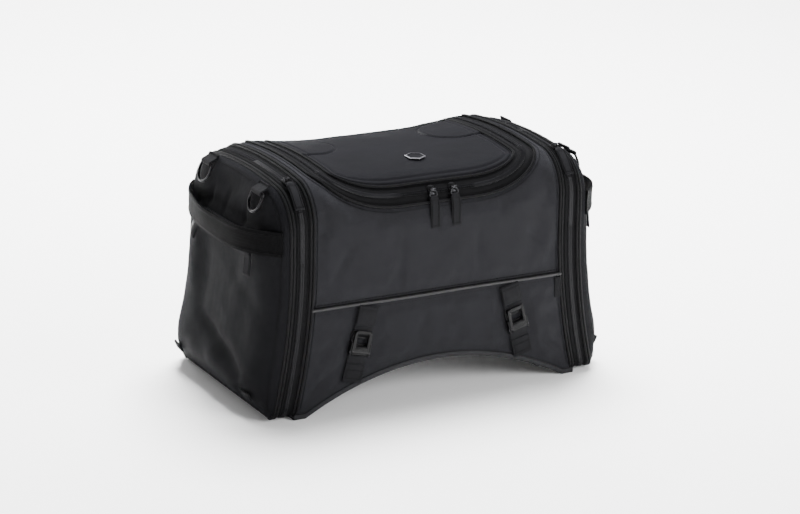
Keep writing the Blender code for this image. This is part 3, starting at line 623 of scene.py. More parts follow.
def woven(name, level, thread, sheen, rough=(0.62, 0.82), space="UV", blue=1.08, depth=0.00016,
          specular=0.14):
    """Plain or basket weave: cells of thread width, crossing over and under."""
    n = Nodes(name)
    place = n.place(space)
    u, v, w = n.axes(place)
    if space == "Object":
        u, v = n.math("ADD", u, w), n.math("ADD", v, w)
    cell = 2 * thread
    wavy = n.noise(place, 0.012, 2.0)
    u_bent = n.math("MULTIPLY_ADD", wavy, thread * 0.6, u)
    over = n.math("SINE", n.math("MULTIPLY", u_bent, pi / cell))
    under = n.math("SINE", n.math("MULTIPLY", v, pi / cell))
    picked = n.math("GREATER_THAN", n.math("MULTIPLY", over, under), 0.0)
    warp, weft = n.ribs(u_bent, thread), n.ribs(v, thread)
    mixed = n.add("Mix", {"data_type": "FLOAT"}, _0=picked, _2=warp, _3=weft).outputs[0]
    height = n.math("POWER", mixed, 0.6)
    patches = n.noise(place, 0.045, 4.0, 0.6)
    fibre = n.noise(place, thread * 0.7, 2.0)
    # Colour from the thread height: darker between the threads as painted shade in the weave, with random
    # tone from the fibre and patch noise.
    shade = n.math("MULTIPLY_ADD", height, 0.5, n.math("MULTIPLY", fibre, 0.5))
    shade = n.math("MULTIPLY_ADD", patches, 0.55, n.math("MULTIPLY", shade, 0.62))
    colour = n.tint(shade, grey(level * 0.45, blue), grey(level * 1.55, blue))
    soft = n.bump(n.noise(place, 0.009, 3.0), 0.0006, 0.35)
    return n.finish(
        Base_Color=colour,
        Roughness=n.between(patches, *rough),
        Normal=n.bump(height, depth, 0.8, soft),
        Sheen_Weight=sheen,
        Sheen_Roughness=0.45,
        Sheen_Tint=(0.85, 0.88, 0.95, 1),
        Specular_IOR_Level=specular,
    )


def ribbed(name, level, specular, across=0.0016, along=0.0009):
    """Webbing: columns of slanted threads running along the band."""
    n = Nodes(name)
    place = n.place()
    u, v, _ = n.axes(place)
    column = n.math("FLOOR", n.math("DIVIDE", u, across))
    lean = n.math("PINGPONG", u, across)
    slanted = n.math("ADD", v, n.math("MULTIPLY", lean, 0.55))
    slanted = n.math("MULTIPLY_ADD", column, along / 2, slanted)
    height = n.math("MULTIPLY", n.ribs(slanted, along), n.math("POWER", n.ribs(u, across), 0.35))
    worn = n.noise(place, 0.020, 4.0)
    # Colour darker in the grooves between the ribs, from the rib height: painted shade; the worn noise adds
    # random tone.
    shade = n.math("MULTIPLY_ADD", height, 0.55, n.math("MULTIPLY", worn, 0.5))
    return n.finish(
        Base_Color=n.tint(shade, grey(level * 0.55, 1.12), grey(level * 1.45, 1.12)),
        Roughness=n.between(worn, 0.6, 0.8),
        Normal=n.bump(height, 0.00018, 0.7),
        Sheen_Weight=0.01,
        Sheen_Roughness=0.4,
        Specular_IOR_Level=specular,
    )


def moulded(name, level):
    """Pressed semi-gloss skin with a fine grain."""
    n = Nodes(name)
    place = n.place("Object")
    grain = n.add("TexVoronoi", {"feature": "F1"}, Vector=place, Scale=1 / 0.0009).outputs[0]
    cloud = n.noise(place, 0.060, 4.0)
    fine = n.noise(place, 0.0022, 3.0)
    shade = n.math("MULTIPLY_ADD", cloud, 0.7, n.math("MULTIPLY", fine, 0.3))
    mixed = n.math("MULTIPLY_ADD", fine, 0.5, n.math("MULTIPLY", cloud, 0.5))
    return n.finish(
        Base_Color=n.tint(shade, grey(level * 0.7, 1.18), grey(level * 1.3, 1.18)),
        Roughness=n.between(mixed, 0.34, 0.50),
        Normal=n.bump(grain, 0.00012, 0.55, n.bump(n.noise(place, 0.018, 2.0), 0.0005, 0.25)),
        Specular_IOR_Level=0.06,
    )


def coated_metal(name, level, bare, rough):
    """Dark coating that is rubbed bright along its edges."""
    n = Nodes(name)
    place = n.place("Object")
    edge = n.add("NewGeometry").outputs["Pointiness"]
    scuff = n.noise(place, 0.0025, 4.0, 0.7)
    worn = n.math("MULTIPLY_ADD", scuff, 0.16, edge)
    worn = n.add("MapRange", _0=worn, _1=0.60, _2=0.68).outputs[0]
    return n.finish(
        Base_Color=n.tint(worn, grey(level, 1.12), grey(bare, 1.08)),
        Metallic=0.9,
        Roughness=n.between(scuff, *rough),
        Normal=n.bump(scuff, 0.00008, 0.25),
        Specular_IOR_Level=0.5,
    )


def plastic(name, level, rough, specular, pitch=0.0006, depth=0.00006):
    """Nylon coil, thread or moulded clip: slightly glossy, with fine lines."""
    n = Nodes(name)
    place = n.place("Object")
    cloud = n.noise(place, 0.004, 3.0)
    fine = n.noise(place, pitch, 2.0)
    return n.finish(
        Base_Color=n.tint(cloud, grey(level * 0.6, 1.12), grey(level * 1.5, 1.12)),
        Roughness=n.between(fine, *rough),
        Normal=n.bump(fine, depth, 0.6),
        Specular_IOR_Level=specular,
    )


def beaded(name, level):
    """Reflective tape: fine glass beads over grey cloth."""
    n = Nodes(name)
    place = n.place("Object")
    beads = n.add("TexVoronoi", {"feature": "F1"}, Vector=place, Scale=1 / 0.0005).outputs[0]
    cloud = n.noise(place, 0.015, 3.0)
    return n.finish(
        Base_Color=n.tint(cloud, grey(level * 0.75, 1.03), grey(level * 1.25, 1.03)),
        Roughness=n.between(beads, 0.25, 0.55),
        Specular_IOR_Level=0.12,
        Normal=n.bump(beads, 0.0001, 0.5),
    )


def painted_floor():
    n = Nodes("floor")
    cloud = n.noise(n.place("Object"), 0.9, 2.0)
    return n.finish(
        Base_Color=n.tint(cloud, (0.955, 0.955, 0.955), (0.975, 0.975, 0.975)),
        Roughness=0.75,
        Specular_IOR_Level=0.15,
    )


NYLON = woven("nylon_basket", 0.0094, 0.00036, 0.03, blue=1.16, specular=0.06)
# The side panels' nylon: the body's nylon at under half its level, painted shade for the ends turned away
# from the lamps.
NYLON_SIDE_PAINTED_SHADE = woven("nylon_side_painted_shade", 0.0042, 0.00036, 0.01, blue=1.18, specular=0.04)
LINING = woven("nylon_lining", 0.030, 0.00016, 0.05, rough=(0.5, 0.65), depth=0.00005)
TAPE = woven("zip_tape", 0.0042, 0.00022, 0.01, rough=(0.6, 0.75), depth=0.00008, specular=0.03)
PIPING = woven("piping_cloth", 0.0040, 0.00028, 0.01, rough=(0.40, 0.58), depth=0.0001, specular=0.06)
WEBBING = ribbed("webbing", 0.0078, 0.05)
BINDING = woven("arch_binding", 0.0150, 0.00028, 0.02, rough=(0.5, 0.65), depth=0.0001, specular=0.06)
HANDLE_WEB = ribbed("handle_webbing", 0.0018, 0.03, across=0.0020)
MOULDED = moulded("moulded_skin", 0.0060)
METAL = coated_metal("coated_metal", 0.0045, 0.06, (0.26, 0.42))
BUCKLE = plastic("buckle_coating", 0.0028, (0.28, 0.45), 0.14)
COIL = plastic("zip_coil", 0.0066, (0.24, 0.42), 0.06)
# Thread much darker than the cloth: partly the thread's own colour, partly painted shade of the needle holes
# along the rows.
THREAD = plastic("thread", 0.0018, (0.45, 0.65), 0.04, pitch=0.00025, depth=0.00008)
REFLECTIVE = beaded("reflective_beads", 0.025)
SATIN = coated_metal("satin_badge", 0.30, 0.60, (0.28, 0.42))
BOARD = woven("base_board", 0.010, 0.0005, 0.05, space="Object")

# ---- cloth ---------------------------------------------------------------------------------
def relaxed(points, pinned, pressure, growth, gravity, bending, keep=None):
    """Points of a grid after a cloth simulation that holds the pinned ones."""
    rows, cols = pinned.shape
    faces = np.array(grid_faces(rows, cols))
    if keep is not None:
        faces = faces[keep.reshape(-1)]
    piece = mesh_object("cloth_run", points, faces.tolist(), NYLON)
    group = piece.vertex_groups.new(name="pin")
    group.add([int(i) for i in np.flatnonzero(pinned)], 1.0, "REPLACE")
    cloth = piece.modifiers.new("cloth", "CLOTH")
    settings = cloth.settings
    settings.quality = 6
    settings.mass = 0.25
    settings.tension_stiffness = settings.compression_stiffness = 25
    settings.shear_stiffness = 8
    settings.bending_stiffness = bending
    settings.air_damping = 3
    settings.vertex_group_mass = "pin"
    settings.shrink_min = -growth
    settings.use_pressure = True
    settings.uniform_pressure_force = pressure
    settings.effector_weights.gravity = gravity
    cloth.collision_settings.use_collision = False
    cloth.point_cache.frame_start, cloth.point_cache.frame_end = 1, SIM_FRAMES
    for step in range(1, SIM_FRAMES + 1):
        bpy.context.scene.frame_set(step)
    graph = bpy.context.evaluated_depsgraph_get()
    flat = np.empty(rows * cols * 3, np.float32)
    piece.evaluated_get(graph).data.vertices.foreach_get("co", flat)
    bpy.data.objects.remove(piece)
    bpy.context.scene.frame_set(1)
    return flat.reshape(rows, cols, 3).astype(float)


def smoothed(grid, passes):
    """Evens out a grid of values in place, apart from its border."""
    for _ in range(passes):
        around = (grid[:-2, 1:-1] + grid[2:, 1:-1] + grid[1:-1, :-2] + grid[1:-1, 2:]) / 4
        grid[1:-1, 1:-1] = (grid[1:-1, 1:-1] + around) / 2
    return grid


def sampled(grid, r, c):
    """Values of a grid between its points, at fractional rows and columns."""
    r0 = np.minimum(r.astype(int), grid.shape[0] - 2)
    c0 = np.minimum(c.astype(int), grid.shape[1] - 2)
    spare = (slice(None),) * r.ndim + (None,) * (grid.ndim - 2)
    fr, fc = (r - r0)[spare], (c - c0)[spare]
    low = grid[r0, c0] * (1 - fc) + grid[r0, c0 + 1] * fc
    high = grid[r0 + 1, c0] * (1 - fc) + grid[r0 + 1, c0 + 1] * fc
    return low * (1 - fr) + high * fr


def draped(points, mask, keep=None):
    """Adds a simulated sag to a fine grid. mask is how freely each point moves, from 0 to 1."""
    coarse = points[::COARSE, ::COARSE]
    pinned = mask[::COARSE, ::COARSE] < PIN_BELOW
    pinned[0], pinned[-1], pinned[:, 0], pinned[:, -1] = True, True, True, True
    kept = None
    if keep is not None:
        kept = keep[::COARSE, ::COARSE][: coarse.shape[0] - 1, : coarse.shape[1] - 1]
    run = relaxed(coarse, pinned, pressure=1.2, growth=0.012, gravity=0.0, bending=0.6, keep=kept) - coarse
    length = np.linalg.norm(run, axis=2, keepdims=True)
    run *= np.minimum(1, MOST_SAG / np.maximum(length, 1e-9))
    rows, cols = (np.linspace(0, run.shape[k] - 1, points.shape[k]) for k in (0, 1))
    fine = sampled(run, *np.meshgrid(rows, cols, indexing="ij"))
    return points + smoothed(fine, 4) * mask[..., None]


# ---- trimming a grid to an outline ----------------------------------------------------------
def inside(points, polygon):
    """Whether each (x, s) lies in a closed outline."""
    x, y = points[..., 0], points[..., 1]
    within = np.zeros(x.shape, bool)
    for (ax, ay), (bx, by) in zip(polygon, np.roll(polygon, -1, axis=0)):
        crosses = (ay > y) != (by > y)
        if ay != by:
            within ^= crosses & (x < (bx - ax) * (y - ay) / (by - ay) + ax)
    return within


def nearest(points, line):
    """Distance to a densely sampled line, and the index of its nearest sample."""
    flat = points.reshape(-1, 2)
    best, index = np.full(len(flat), 1e9), np.zeros(len(flat), int)
    for start in range(0, len(flat), NEAREST_BATCH):
        part = slice(start, start + NEAREST_BATCH)
        gap = np.hypot(flat[part, None, 0] - line[:, 0], flat[part, None, 1] - line[:, 1])
        index[part], best[part] = gap.argmin(axis=1), gap.min(axis=1)
    return best.reshape(points.shape[:-1]), index.reshape(points.shape[:-1])


def trimmed(points, polygon, keep_inside):
    """The grid with its border points moved onto an outline, and which faces stay."""
    centre = (points[:-1, :-1] + points[1:, :-1] + points[:-1, 1:] + points[1:, 1:]) / 4
    stay = inside(centre, polygon) == keep_inside
    touched = np.zeros(points.shape[:2], int)
    for r in (0, 1):
        for c in (0, 1):
            part = touched[r : r + stay.shape[0], c : c + stay.shape[1]]
            part += np.where(stay, 1, 100)
    border = (touched % 100 > 0) & (touched >= 100)
    line = resampled(polygon, pitch=0.0003, closed=True)
    _, index = nearest(points[border], line)
    points = points.copy()
    points[border] = line[index]
    return points, stay


# ---- zips ----------------------------------------------------------------------------------
def zip_half(name, body, near, far, up, centre, nodes, phase=0.0, seam=0.75):
    """Tape between two rows of points, with its coil on the near edge and a row of stitches part way."""
    steps = np.linspace(0, 1, 7)[:, None, None]
    points = near * (1 - steps) + far * steps
    points = points + 0.0006 * np.sin(pi * np.clip(steps * 1.05, 0, 1)) * up
    below = (points - up * 0.05)[3, len(near) // 2]
    place(sheet_shell(f"{name}_tape", points, ZIP_TAPE, TAPE, below), body, *nodes, slot="zip")
    place(zip_teeth(f"{name}_coil", centre, unit(far - near), up, phase), body, slot="zip")
    row = near * (1 - seam) + far * seam + up * 0.0006
    sew(f"{name}_stitches", row, up, body, "zip", 0.0030)


def make_lid_zip():
    def row(offset, out):
        return over_line(lid_line(offset), out)

    up, centre = unit(row(0.0, 0.002) - row(0.0, 0.0)), row(0.0, -0.0002)
    zip_half("lid_zip_body", "bag", row(0.0006, -0.0006), row(0.0170, -0.0017), up, centre,
             ["opening_zip_tape"], seam=0.56)
    zip_half("lid_zip_lid", "lid", row(-0.0006, -0.0006), row(-0.0150, -0.0012), up, centre,
             ["lid_zip_tape"], phase=0.5, seam=0.56)


def end_up(side, dx):
    """Outward directions on the end's outline, one for each of its points."""
    return unit(end_path(side, dx, 0.002) - end_path(side, dx, 0.0))


def make_end_zip(name, side):
    centre, up = end_path(side, EXPANSION_DX, -0.0004), end_up(side, EXPANSION_DX)
    for half, body, near, far, node, phase in (
        ("body", "bag", 0.0137, 0.0036, f"expansion_tape_{name}", 0.0),
        ("side", f"side_{name}", 0.0147, 0.0226, f"side_tape_{name}", 0.5),
    ):
        edges = end_path(side, near, -0.0009), end_path(side, far, -0.0005)
        zip_half(f"expansion_{half}_{name}", body, *edges, up, centre, [node], phase)


# ---- the body's fabric ---------------------------------------------------------------------

def foot_x(u):
    x = u * HALF_FLOOR
    for _ in range(6):
        x = u * half_width(arch(x))
    return x


def seam_tuck(distance, depth=0.0011, reach=0.0035):
    """How far the fabric is drawn in at a seam."""
    return -depth * np.exp(-distance / reach)


def puckers(distance, run, seed, depth=0.00032, pitch=0.0085, reach=0.011):
    """Small gathers that run away from a sewn edge."""
    drift = ripples(run, distance * 0, seed, 0.05, 2)
    wave = np.sin(2 * pi * run / pitch + 3 * drift)
    return depth * wave * np.exp(-distance / reach) * (0.6 + 0.4 * drift)


def fold(points, start, end, width, depth, axes=(0, 2)):
    """A soft crease between two places, fading towards its ends."""
    a, b = np.array(start), np.array(end)
    flat = points[..., axes]
    t = ((flat - a) @ (b - a)) / np.dot(b - a, b - a)
    gap = np.linalg.norm(flat - a - np.clip(t, 0, 1)[..., None] * (b - a), axis=-1)
    fade = smoothstep(-0.1, 0.25, t) * (1 - smoothstep(0.75, 1.1, t))
    return depth * np.exp(-((gap / width) ** 2)) * fade


def folds(points, rows, axes=(0, 2)):
    """Several creases together, each as its start, end, width and depth."""
    return sum(fold(points, *row, axes) for row in rows)


def make_upper_body():
    u = np.linspace(-1, 1, BODY_COLUMNS)
    high = corner_z(u * HALF_TOP)
    rear_low = arch(foot_x(u)) + WALL_START
    front = ARC_CORNER + high - SEAM_Z
    rear = ARC_CORNER + high - rear_low
    wall = np.linspace(0, 1, WALL_POINTS, endpoint=False)[:, None]
    back = np.linspace(0, 1, REAR_POINTS)[1:, None]
    top = np.linspace(ARC_CORNER, -ARC_CORNER, TOP_POINTS)[:, None] + 0 * u
    s = np.vstack([front * (1 - wall) + ARC_CORNER * wall, top, -(ARC_CORNER * (1 - back) + rear * back)])
    flat = np.stack(np.broadcast_arrays((u * HALF_TOP)[None, :], s), axis=-1)
    opening = lid_line(0.0166)
    opening[[0, -1], 1] -= 0.0006
    flat, stay = trimmed(flat, opening, keep_inside=False)
    columns = flat[..., 0] / HALF_TOP
    y, z = wrap(flat[..., 0], flat[..., 1])
    points = np.stack([columns * (half_width(z) - PANEL_INSET), y, z], axis=-1)
    step = 0.0015
    to_zip, at_zip = nearest(flat, resampled(opening, pitch=step))
    to_end = (1 - np.abs(columns)) * HALF_TOP
    front_face = flat[..., 1] > 0
    to_seam = np.where(front_face, z - SEAM_Z, z - rear_low)
    edge = np.minimum(np.minimum(to_zip, to_end), to_seam)
    mask = smoothstep(0.002, 0.022, edge)
    points = draped(points, mask, stay)
    normal = grid_normals(points)
    if normal[10, 10, 1] > 0:
        normal = -normal
    x = points[..., 0]
    lift = seam_tuck(to_zip) + seam_tuck(to_end, 0.0007) + seam_tuck(to_seam, 0.0009)
    lift += puckers(to_zip, at_zip * step, 3) + puckers(to_end, z + y, 4) + puckers(to_seam, x, 5)
    lift += 0.00055 * mask * ripples(x, flat[..., 1], 6, 0.060)
    waves = np.sin(x / 0.011 + 2.2 * np.sin(z / 0.05))
    lift += 0.0019 * smoothstep(0.100, 0.150, x) * mask * front_face * waves * smoothstep(0.15, 0.17, z)
    lift += front_face * folds(points, (
        ((-0.155, 0.150), (-0.120, 0.215), 0.007, -0.0016),
        ((0.168, 0.160), (0.120, 0.200), 0.008, -0.0018),
        ((0.020, 0.145), (0.060, 0.200), 0.012, -0.0010),
    ))
    lift += ~front_face * folds(points, (
        ((-0.130, 0.060), (-0.060, 0.160), 0.012, -0.0022),
        ((0.140, 0.050), (0.050, 0.120), 0.014, -0.0022),
    ))
    points = points + normal * lift[..., None]
    shell = sheet_shell("upper_body", points, FABRIC, NYLON, INNER_POINT, stay)
    line_inside(shell)
    place(shell, "bag", "main_shell", slot="nylon")


def second_material(piece, material, chosen):
    """Gives another material to the faces that chosen picks."""
    piece.data.materials.append(material)
    for polygon in piece.data.polygons:
        if chosen(polygon):
            polygon.material_index = 1


def line_inside(piece):
    """Gives the faces that look into the bag the lining's cloth."""
    middle = Vector((0, 0, 0.14))

    def looks_in(polygon):
        inwards = middle - polygon.center
        return polygon.normal.dot(inwards) > 0.25 * inwards.length

    second_material(piece, LINING, looks_in)


def make_lower_front():
    u = np.linspace(-1, 1, BODY_COLUMNS)
    low = arch(foot_x(u)) + WALL_START
    rise = np.linspace(0, 1, LOWER_POINTS)[:, None]
    z = low + (SEAM_Z - 0.0005 - low) * rise
    x = u * (half_width(z) - PANEL_INSET)
    points = np.stack([x, -front_depth(z), z], axis=-1)
    to_end = (1 - np.abs(u))[None, :] * HALF_TOP + 0 * z
    to_seam, to_foot = SEAM_Z - z, z - low
    strap_x = BUCKLE_X + np.tan(STRAP_TILT) * (BUCKLE_Z - z)
    to_strap = np.abs(np.abs(x) - strap_x)
    edge = np.minimum(np.minimum(to_end, to_seam), to_foot)
    mask = smoothstep(0.002, 0.020, edge) * smoothstep(0.015, 0.030, to_strap)
    points = draped(points, mask)
    lift = seam_tuck(to_end, 0.0007) + seam_tuck(to_seam, 0.0009) + seam_tuck(to_foot, 0.0006)
    lift += puckers(to_end, z, 7) + puckers(to_seam, x, 8) + puckers(to_foot, x, 9)
    lift += 0.0005 * mask * ripples(x, z, 10, 0.055)
    lift += mask * folds(points, (
        ((-0.188, 0.020), (-0.140, 0.060), 0.006, -0.0022),
        ((-0.180, 0.045), (-0.150, 0.095), 0.007, -0.0016),
        ((0.190, 0.022), (0.145, 0.058), 0.006, -0.0022),
        ((0.180, 0.050), (0.150, 0.100), 0.008, -0.0014),
        ((-0.060, 0.060), (0.040, 0.075), 0.010, -0.0009),
    ))
    points[..., 1] -= lift
    panel = sheet_shell("lower_front", points, FABRIC, NYLON, INNER_POINT)
    line_inside(panel)
    place(panel, "bag", "front_lower_panel", slot="nylon")


def make_base():
    foot = HALF_FLOOR - PANEL_INSET
    flat_x = np.linspace(ARCH_HALF, foot, 5)[1:]
    x = np.concatenate([-flat_x[::-1], np.linspace(-ARCH_HALF, ARCH_HALF, 121), flat_x])
    deep = DEPTH_FLOOR - EDGING
    y = np.linspace(-deep, deep, 90)[:, None]
    points = np.stack(np.broadcast_arrays(x[None, :], y, arch(x)[None, :]), axis=-1).copy()
    hem = np.minimum(deep - np.abs(points[..., 1]), (foot - np.abs(points[..., 0])))
    wave = ripples(points[..., 0], points[..., 1], 11, 0.07) * 0.0006
    points[..., 2] += smoothstep(0.0, 0.02, hem) * smoothstep(0.006, 0.012, points[..., 2]) * wave
    panel = sheet_shell("base_cloth", points, 0.0022, NYLON, INNER_POINT)
    place(panel, "bag", "base_panel", slot="nylon")
    for face, name in ((-1, "front"), (1, "rear")):
        make_arch_binding(name, face, x, deep)


def make_arch_binding(name, face, x, deep):
    """Cloth folded over the lower edge, as a rounded bead with a tape above it and a row of stitches."""
    turn = np.linspace(0, 2 * pi, 14, endpoint=False)
    across = 0.0021 * np.sign(np.cos(turn)) * np.abs(np.cos(turn)) ** 0.6
    tall = 0.0024 * np.sign(np.sin(turn)) * np.abs(np.sin(turn)) ** 0.6
    centre = np.stack([x, x * 0 + face * deep, arch(x) + EDGING + 0.0002], axis=1)
    centre = resampled(centre, pitch=0.003)
    up = unit(np.cross(tangents(centre), (0.0, -1.0, 0.0)))
    up = np.where(up[:, 2:3] < 0, -up, up)
    loops = centre[:, None] + tall[None, :, None] * up[:, None]
    loops[..., 1] += across
    place(swept(f"arch_binding_{name}", loops, BINDING), "bag", slot="piping")
    rise = np.array([-0.0006, 0.0004, 0.0020, 0.0036, 0.0050, 0.0058, 0.0060])
    proud = np.array([0.0006, 0.0014, 0.0017, 0.0017, 0.0015, 0.0008, -0.0002])
    level = (arch(x) + 0.0004)[None, :] + rise[:, None]
    depth = face * (front_depth(level) + proud[:, None])
    tape = np.stack(np.broadcast_arrays(x * 0.9985, depth, level), axis=-1)
    place(sheet_shell(f"arch_tape_{name}", tape, THIN_WEB, BINDING, INNER_POINT), "bag", slot="piping")
    row = np.stack([x, face * (front_depth(arch(x) + 0.0062) + 0.0003), arch(x) + 0.0066], axis=1)
    sew(f"arch_stitches_{name}", resampled(row, pitch=0.003), (0.0, face, 0.0), "bag", "piping", 0.0034)


def make_front_seam():
    half = half_width(SEAM_Z) - 0.001
    x = np.linspace(-half, half, 120)
    line = np.stack([x, x * 0 - DEPTH_TOP - 0.0030, SEAM_Z + 0.0003 * np.sin(x / 0.03)], axis=1)
    cord = tube("reflective_cord", line, CORD, REFLECTIVE, sides=14)
    place(cord, "bag", "reflective_piping", slot="reflective")

    def level(z, proud):
        return np.stack([x, x * 0 - front_depth(z) - proud, x * 0 + z], axis=1)

    # The upper row uses the enlarged stitches that also paint needle-hole shade.
    for name, rise, form in (("upper", 0.0052, STITCH_WITH_HOLE_SHADE), ("lower", -0.0068, STITCH)):
        row = level(SEAM_Z + rise, 0.0001)
        sew(f"seam_stitches_{name}", row, (0.0, -1.0, 0.0), "bag", "nylon", 0.0046, form)
    flange = np.array([level(SEAM_Z + rise, 0.0002) for rise in (-0.003, 0.0, 0.003)])
    place(sheet_shell("seam_flange", flange, THIN_WEB, PIPING, (0, 0, SEAM_Z)), "bag", slot="piping")


def make_opening_piping():
    cord = tube("opening_cord", over_line(lid_line(0.0145)), 0.0017, PIPING)
    place(cord, "bag", "opening_piping", slot="piping")
    line = lid_line(0.0205)
    up = unit(over_line(line, 0.002) - over_line(line))
    sew("opening_stitches", over_line(line, 0.0001), up, "bag", "nylon")


def make_end_piping(name, side):
    def cord(word, body, dx, out, radius, *nodes):
        piece = tube(f"{word}_{name}", end_path(side, dx, out), radius, PIPING)
        place(piece, body, *nodes, slot="piping")

    cord("end_cord", "bag", 0.0022, -0.0004, CORD, f"end_piping_{name}")
    cord("end_bead", "bag", -0.0017, 0.0003, 0.0018)
    row = end_path(side, -0.0062, 0.0001)
    sew(f"end_stitches_{name}", row, end_up(side, -0.0062), "bag", "nylon")
    cord("side_cord", f"side_{name}", 0.0245, -0.0004, CORD, f"side_piping_{name}")
    cord("side_bead", f"side_{name}", 0.0283, -0.0004, CORD)


# ---- the ends ------------------------------------------------------------------------------
# Start, end, width and depth of the side panels' large creases, in (y, z).
SIDE_CREASES = (
    ((0.045, 0.092), (-0.108, 0.040), 0.011, -0.0056),
    ((0.020, 0.058), (-0.098, 0.020), 0.017, 0.0036),
    ((-0.085, 0.045), (-0.120, 0.018), 0.006, -0.0030),
    ((0.040, 0.190), (0.052, 0.085), 0.022, -0.0034),
    ((-0.108, 0.130), (-0.030, 0.170), 0.014, -0.0018),
    ((-0.052, 0.262), (-0.052, 0.212), 0.005, -0.0013),
    ((0.000, 0.262), (0.004, 0.212), 0.006, -0.0012),
    ((0.040, 0.258), (0.050, 0.212), 0.005, -0.0012),
)


def make_side(name, side):
    rim = resampled(OUTLINE, SIDE_SPOKES, closed=True)
    f = np.linspace(1, 0.012, SIDE_RINGS)[:, None, None]
    middle = np.array([0, SIDE_CENTRE_Z])
    flat = middle + (rim - middle) * f
    y, z = flat[..., 0], flat[..., 1]
    x = half_width(z) + PANEL_EDGE + swell(f[..., 0], z)
    points = np.stack([x, y, z], axis=-1)
    sag, slack = side_sag(name)
    held = side_hold(y, z) * smoothstep(0.0, 0.16, 1 - f[..., 0])
    points = points + sag_at(sag, slack, y, z)[..., None] * held[..., None] * np.array([1.0, 0, 0])
    to_rim = (1 - f[..., 0]) * np.linalg.norm(rim - middle, axis=1)[None, :]
    run = np.linspace(0, 0.78, SIDE_SPOKES)[None, :] + 0 * to_rim
    lift = seam_tuck(to_rim, 0.0005, 0.003) + puckers(to_rim, run, 12 + side, 0.0004)
    lift += 0.0006 * held * ripples(y, z, 14 + side, 0.055)
    crease = folds(points, SIDE_CREASES, (1, 2))
    lift += crease * smoothstep(0.0, 0.01, to_rim) * (0.25 + 0.75 * held)
    points[..., 0] = side * (points[..., 0] + lift)
    count = SIDE_RINGS * SIDE_SPOKES
    index = np.arange(count).reshape(SIDE_RINGS, SIDE_SPOKES)
    ahead = np.roll(index, -1, axis=1)
    front = np.stack([index[:-1], ahead[:-1], ahead[1:], index[1:]], axis=-1).reshape(-1, 4).tolist()
    front.append(index[-1].tolist())
    back = [[i + count for i in reversed(face)] for face in front]
    rim_walls = np.stack([index[0], index[0] + count, ahead[0] + count, ahead[0]], axis=-1).tolist()
    both = np.concatenate([points, points - (side * FABRIC, 0, 0)]).reshape(-1, 3)
    # The side panel takes the darker nylon that paints shade on the ends.
    panel = mesh_object(f"side_cloth_{name}", both, front + back + rim_walls, NYLON_SIDE_PAINTED_SHADE, both[:, 1:])
    faced_out(panel.data, 55)
    line_inside(panel)
    place(panel, f"side_{name}", f"side_panel_{name}", slot="nylon")
    row, up = on_side(side, *rim_at(0.965).T, 0.0002)
    sew(f"side_stitches_{name}", row, up, f"side_{name}", "nylon")


def rim_at(f):
    rim = resampled(OUTLINE, 300, closed=True)
    middle = np.array([0, SIDE_CENTRE_Z])
    return middle + (rim - middle) * f


def side_hold(y, z):
    """How freely the side panel moves: not under its zip, tabs, rings and handle ends."""
    free = np.ones(np.broadcast(y, z).shape)
    for ring_y in (-RING_Y, RING_Y):
        free *= smoothstep(0.012, 0.034, np.hypot((y - ring_y) * 0.8, z - RING_Z + 0.012))
        free *= smoothstep(0.010, 0.026, np.hypot(np.abs(y) - LOOP_Y, z - LOOP_Z))
    to_end = np.maximum(np.abs(y) - 0.125, 0.098 - np.abs(y)).clip(0)
    free *= smoothstep(0.008, 0.024, np.hypot(to_end, z - HANDLE_Z))
    line = pocket_line()
    gap = np.min(np.hypot(y[..., None] - line[::4, 0], z[..., None] - line[::4, 1]), axis=-1)
    return free * (0.12 + 0.88 * smoothstep(0.010, 0.024, gap))


def side_sag(name):
    """A square grid over the side panel and how far the simulation moves its points outwards."""
    y = np.linspace(-0.135, 0.135, 46)
    z = np.linspace(0.0, 0.290, 49)
    yy, zz = np.meshgrid(y, z)
    within = inside(np.stack([yy, zz], axis=-1), rim_at(0.99))
    x = side_x(yy, zz)
    start = np.stack([x, yy, zz], axis=-1)
    pinned = ~within | (side_hold(yy, zz) < 0.1)
    skew = 0.0006 * ripples(yy, zz, 21 if name == "left" else 22, 0.04)
    start[..., 0] += np.where(pinned, 0, skew)
    run = relaxed(start, pinned, pressure=0.8, growth=0.016, gravity=0.25, bending=1.2)
    return (y, z), smoothed(np.clip(run[..., 0] - x, -0.0070, 0.0045), 14)


def sag_at(place_at, sag, y, z):
    """The sag between the grid's points."""
    ys, zs = place_at
    c = np.clip((y - ys[0]) / (ys[1] - ys[0]), 0, len(ys) - 1.001)
    r = np.clip((z - zs[0]) / (zs[1] - zs[0]), 0, len(zs) - 1.001)
    return sampled(sag, r, c)


def make_gusset(name, side):
    """Pleated sleeve between the bag and the side that can be let out."""
    steps = np.linspace(-0.045, 0.0255, 64)
    rows = []
    for dx in steps:
        pleat = 0.0011 * sin(2 * pi * (dx + 0.045) / 0.0118)
        path = end_path(side, END_BAND, -0.0087 + pleat, 200)
        floor_y = np.linspace(path[-1, 1], path[0, 1], 50)[1:]
        floor = np.stack([0 * floor_y, floor_y, 0 * floor_y + path[0, 2]], axis=1)
        loop = resampled(np.vstack([path, floor]), 260)
        loop[:, 0] = side * (half_width(loop[:, 2]) + dx)
        rows.append(loop)
    sleeve = sheet_shell(f"gusset_cloth_{name}", np.array(rows), 0.0008, LINING, (side * 0.17, 0, 0.1))
    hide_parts(f"gusset_{name}")
    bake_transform(sleeve)


def pocket_line():
    level = np.stack([np.linspace(POCKET_FRONT, POCKET_BEND, 60), np.full(60, POCKET_Z)], axis=1)
    a = np.linspace(0, 1.2, 40)[1:]
    bend = POCKET_RADIUS * np.stack([np.sin(a), np.cos(a) - 1], axis=1) + (POCKET_BEND, POCKET_Z)
    return resampled(np.vstack([level, bend]), pitch=0.0015)


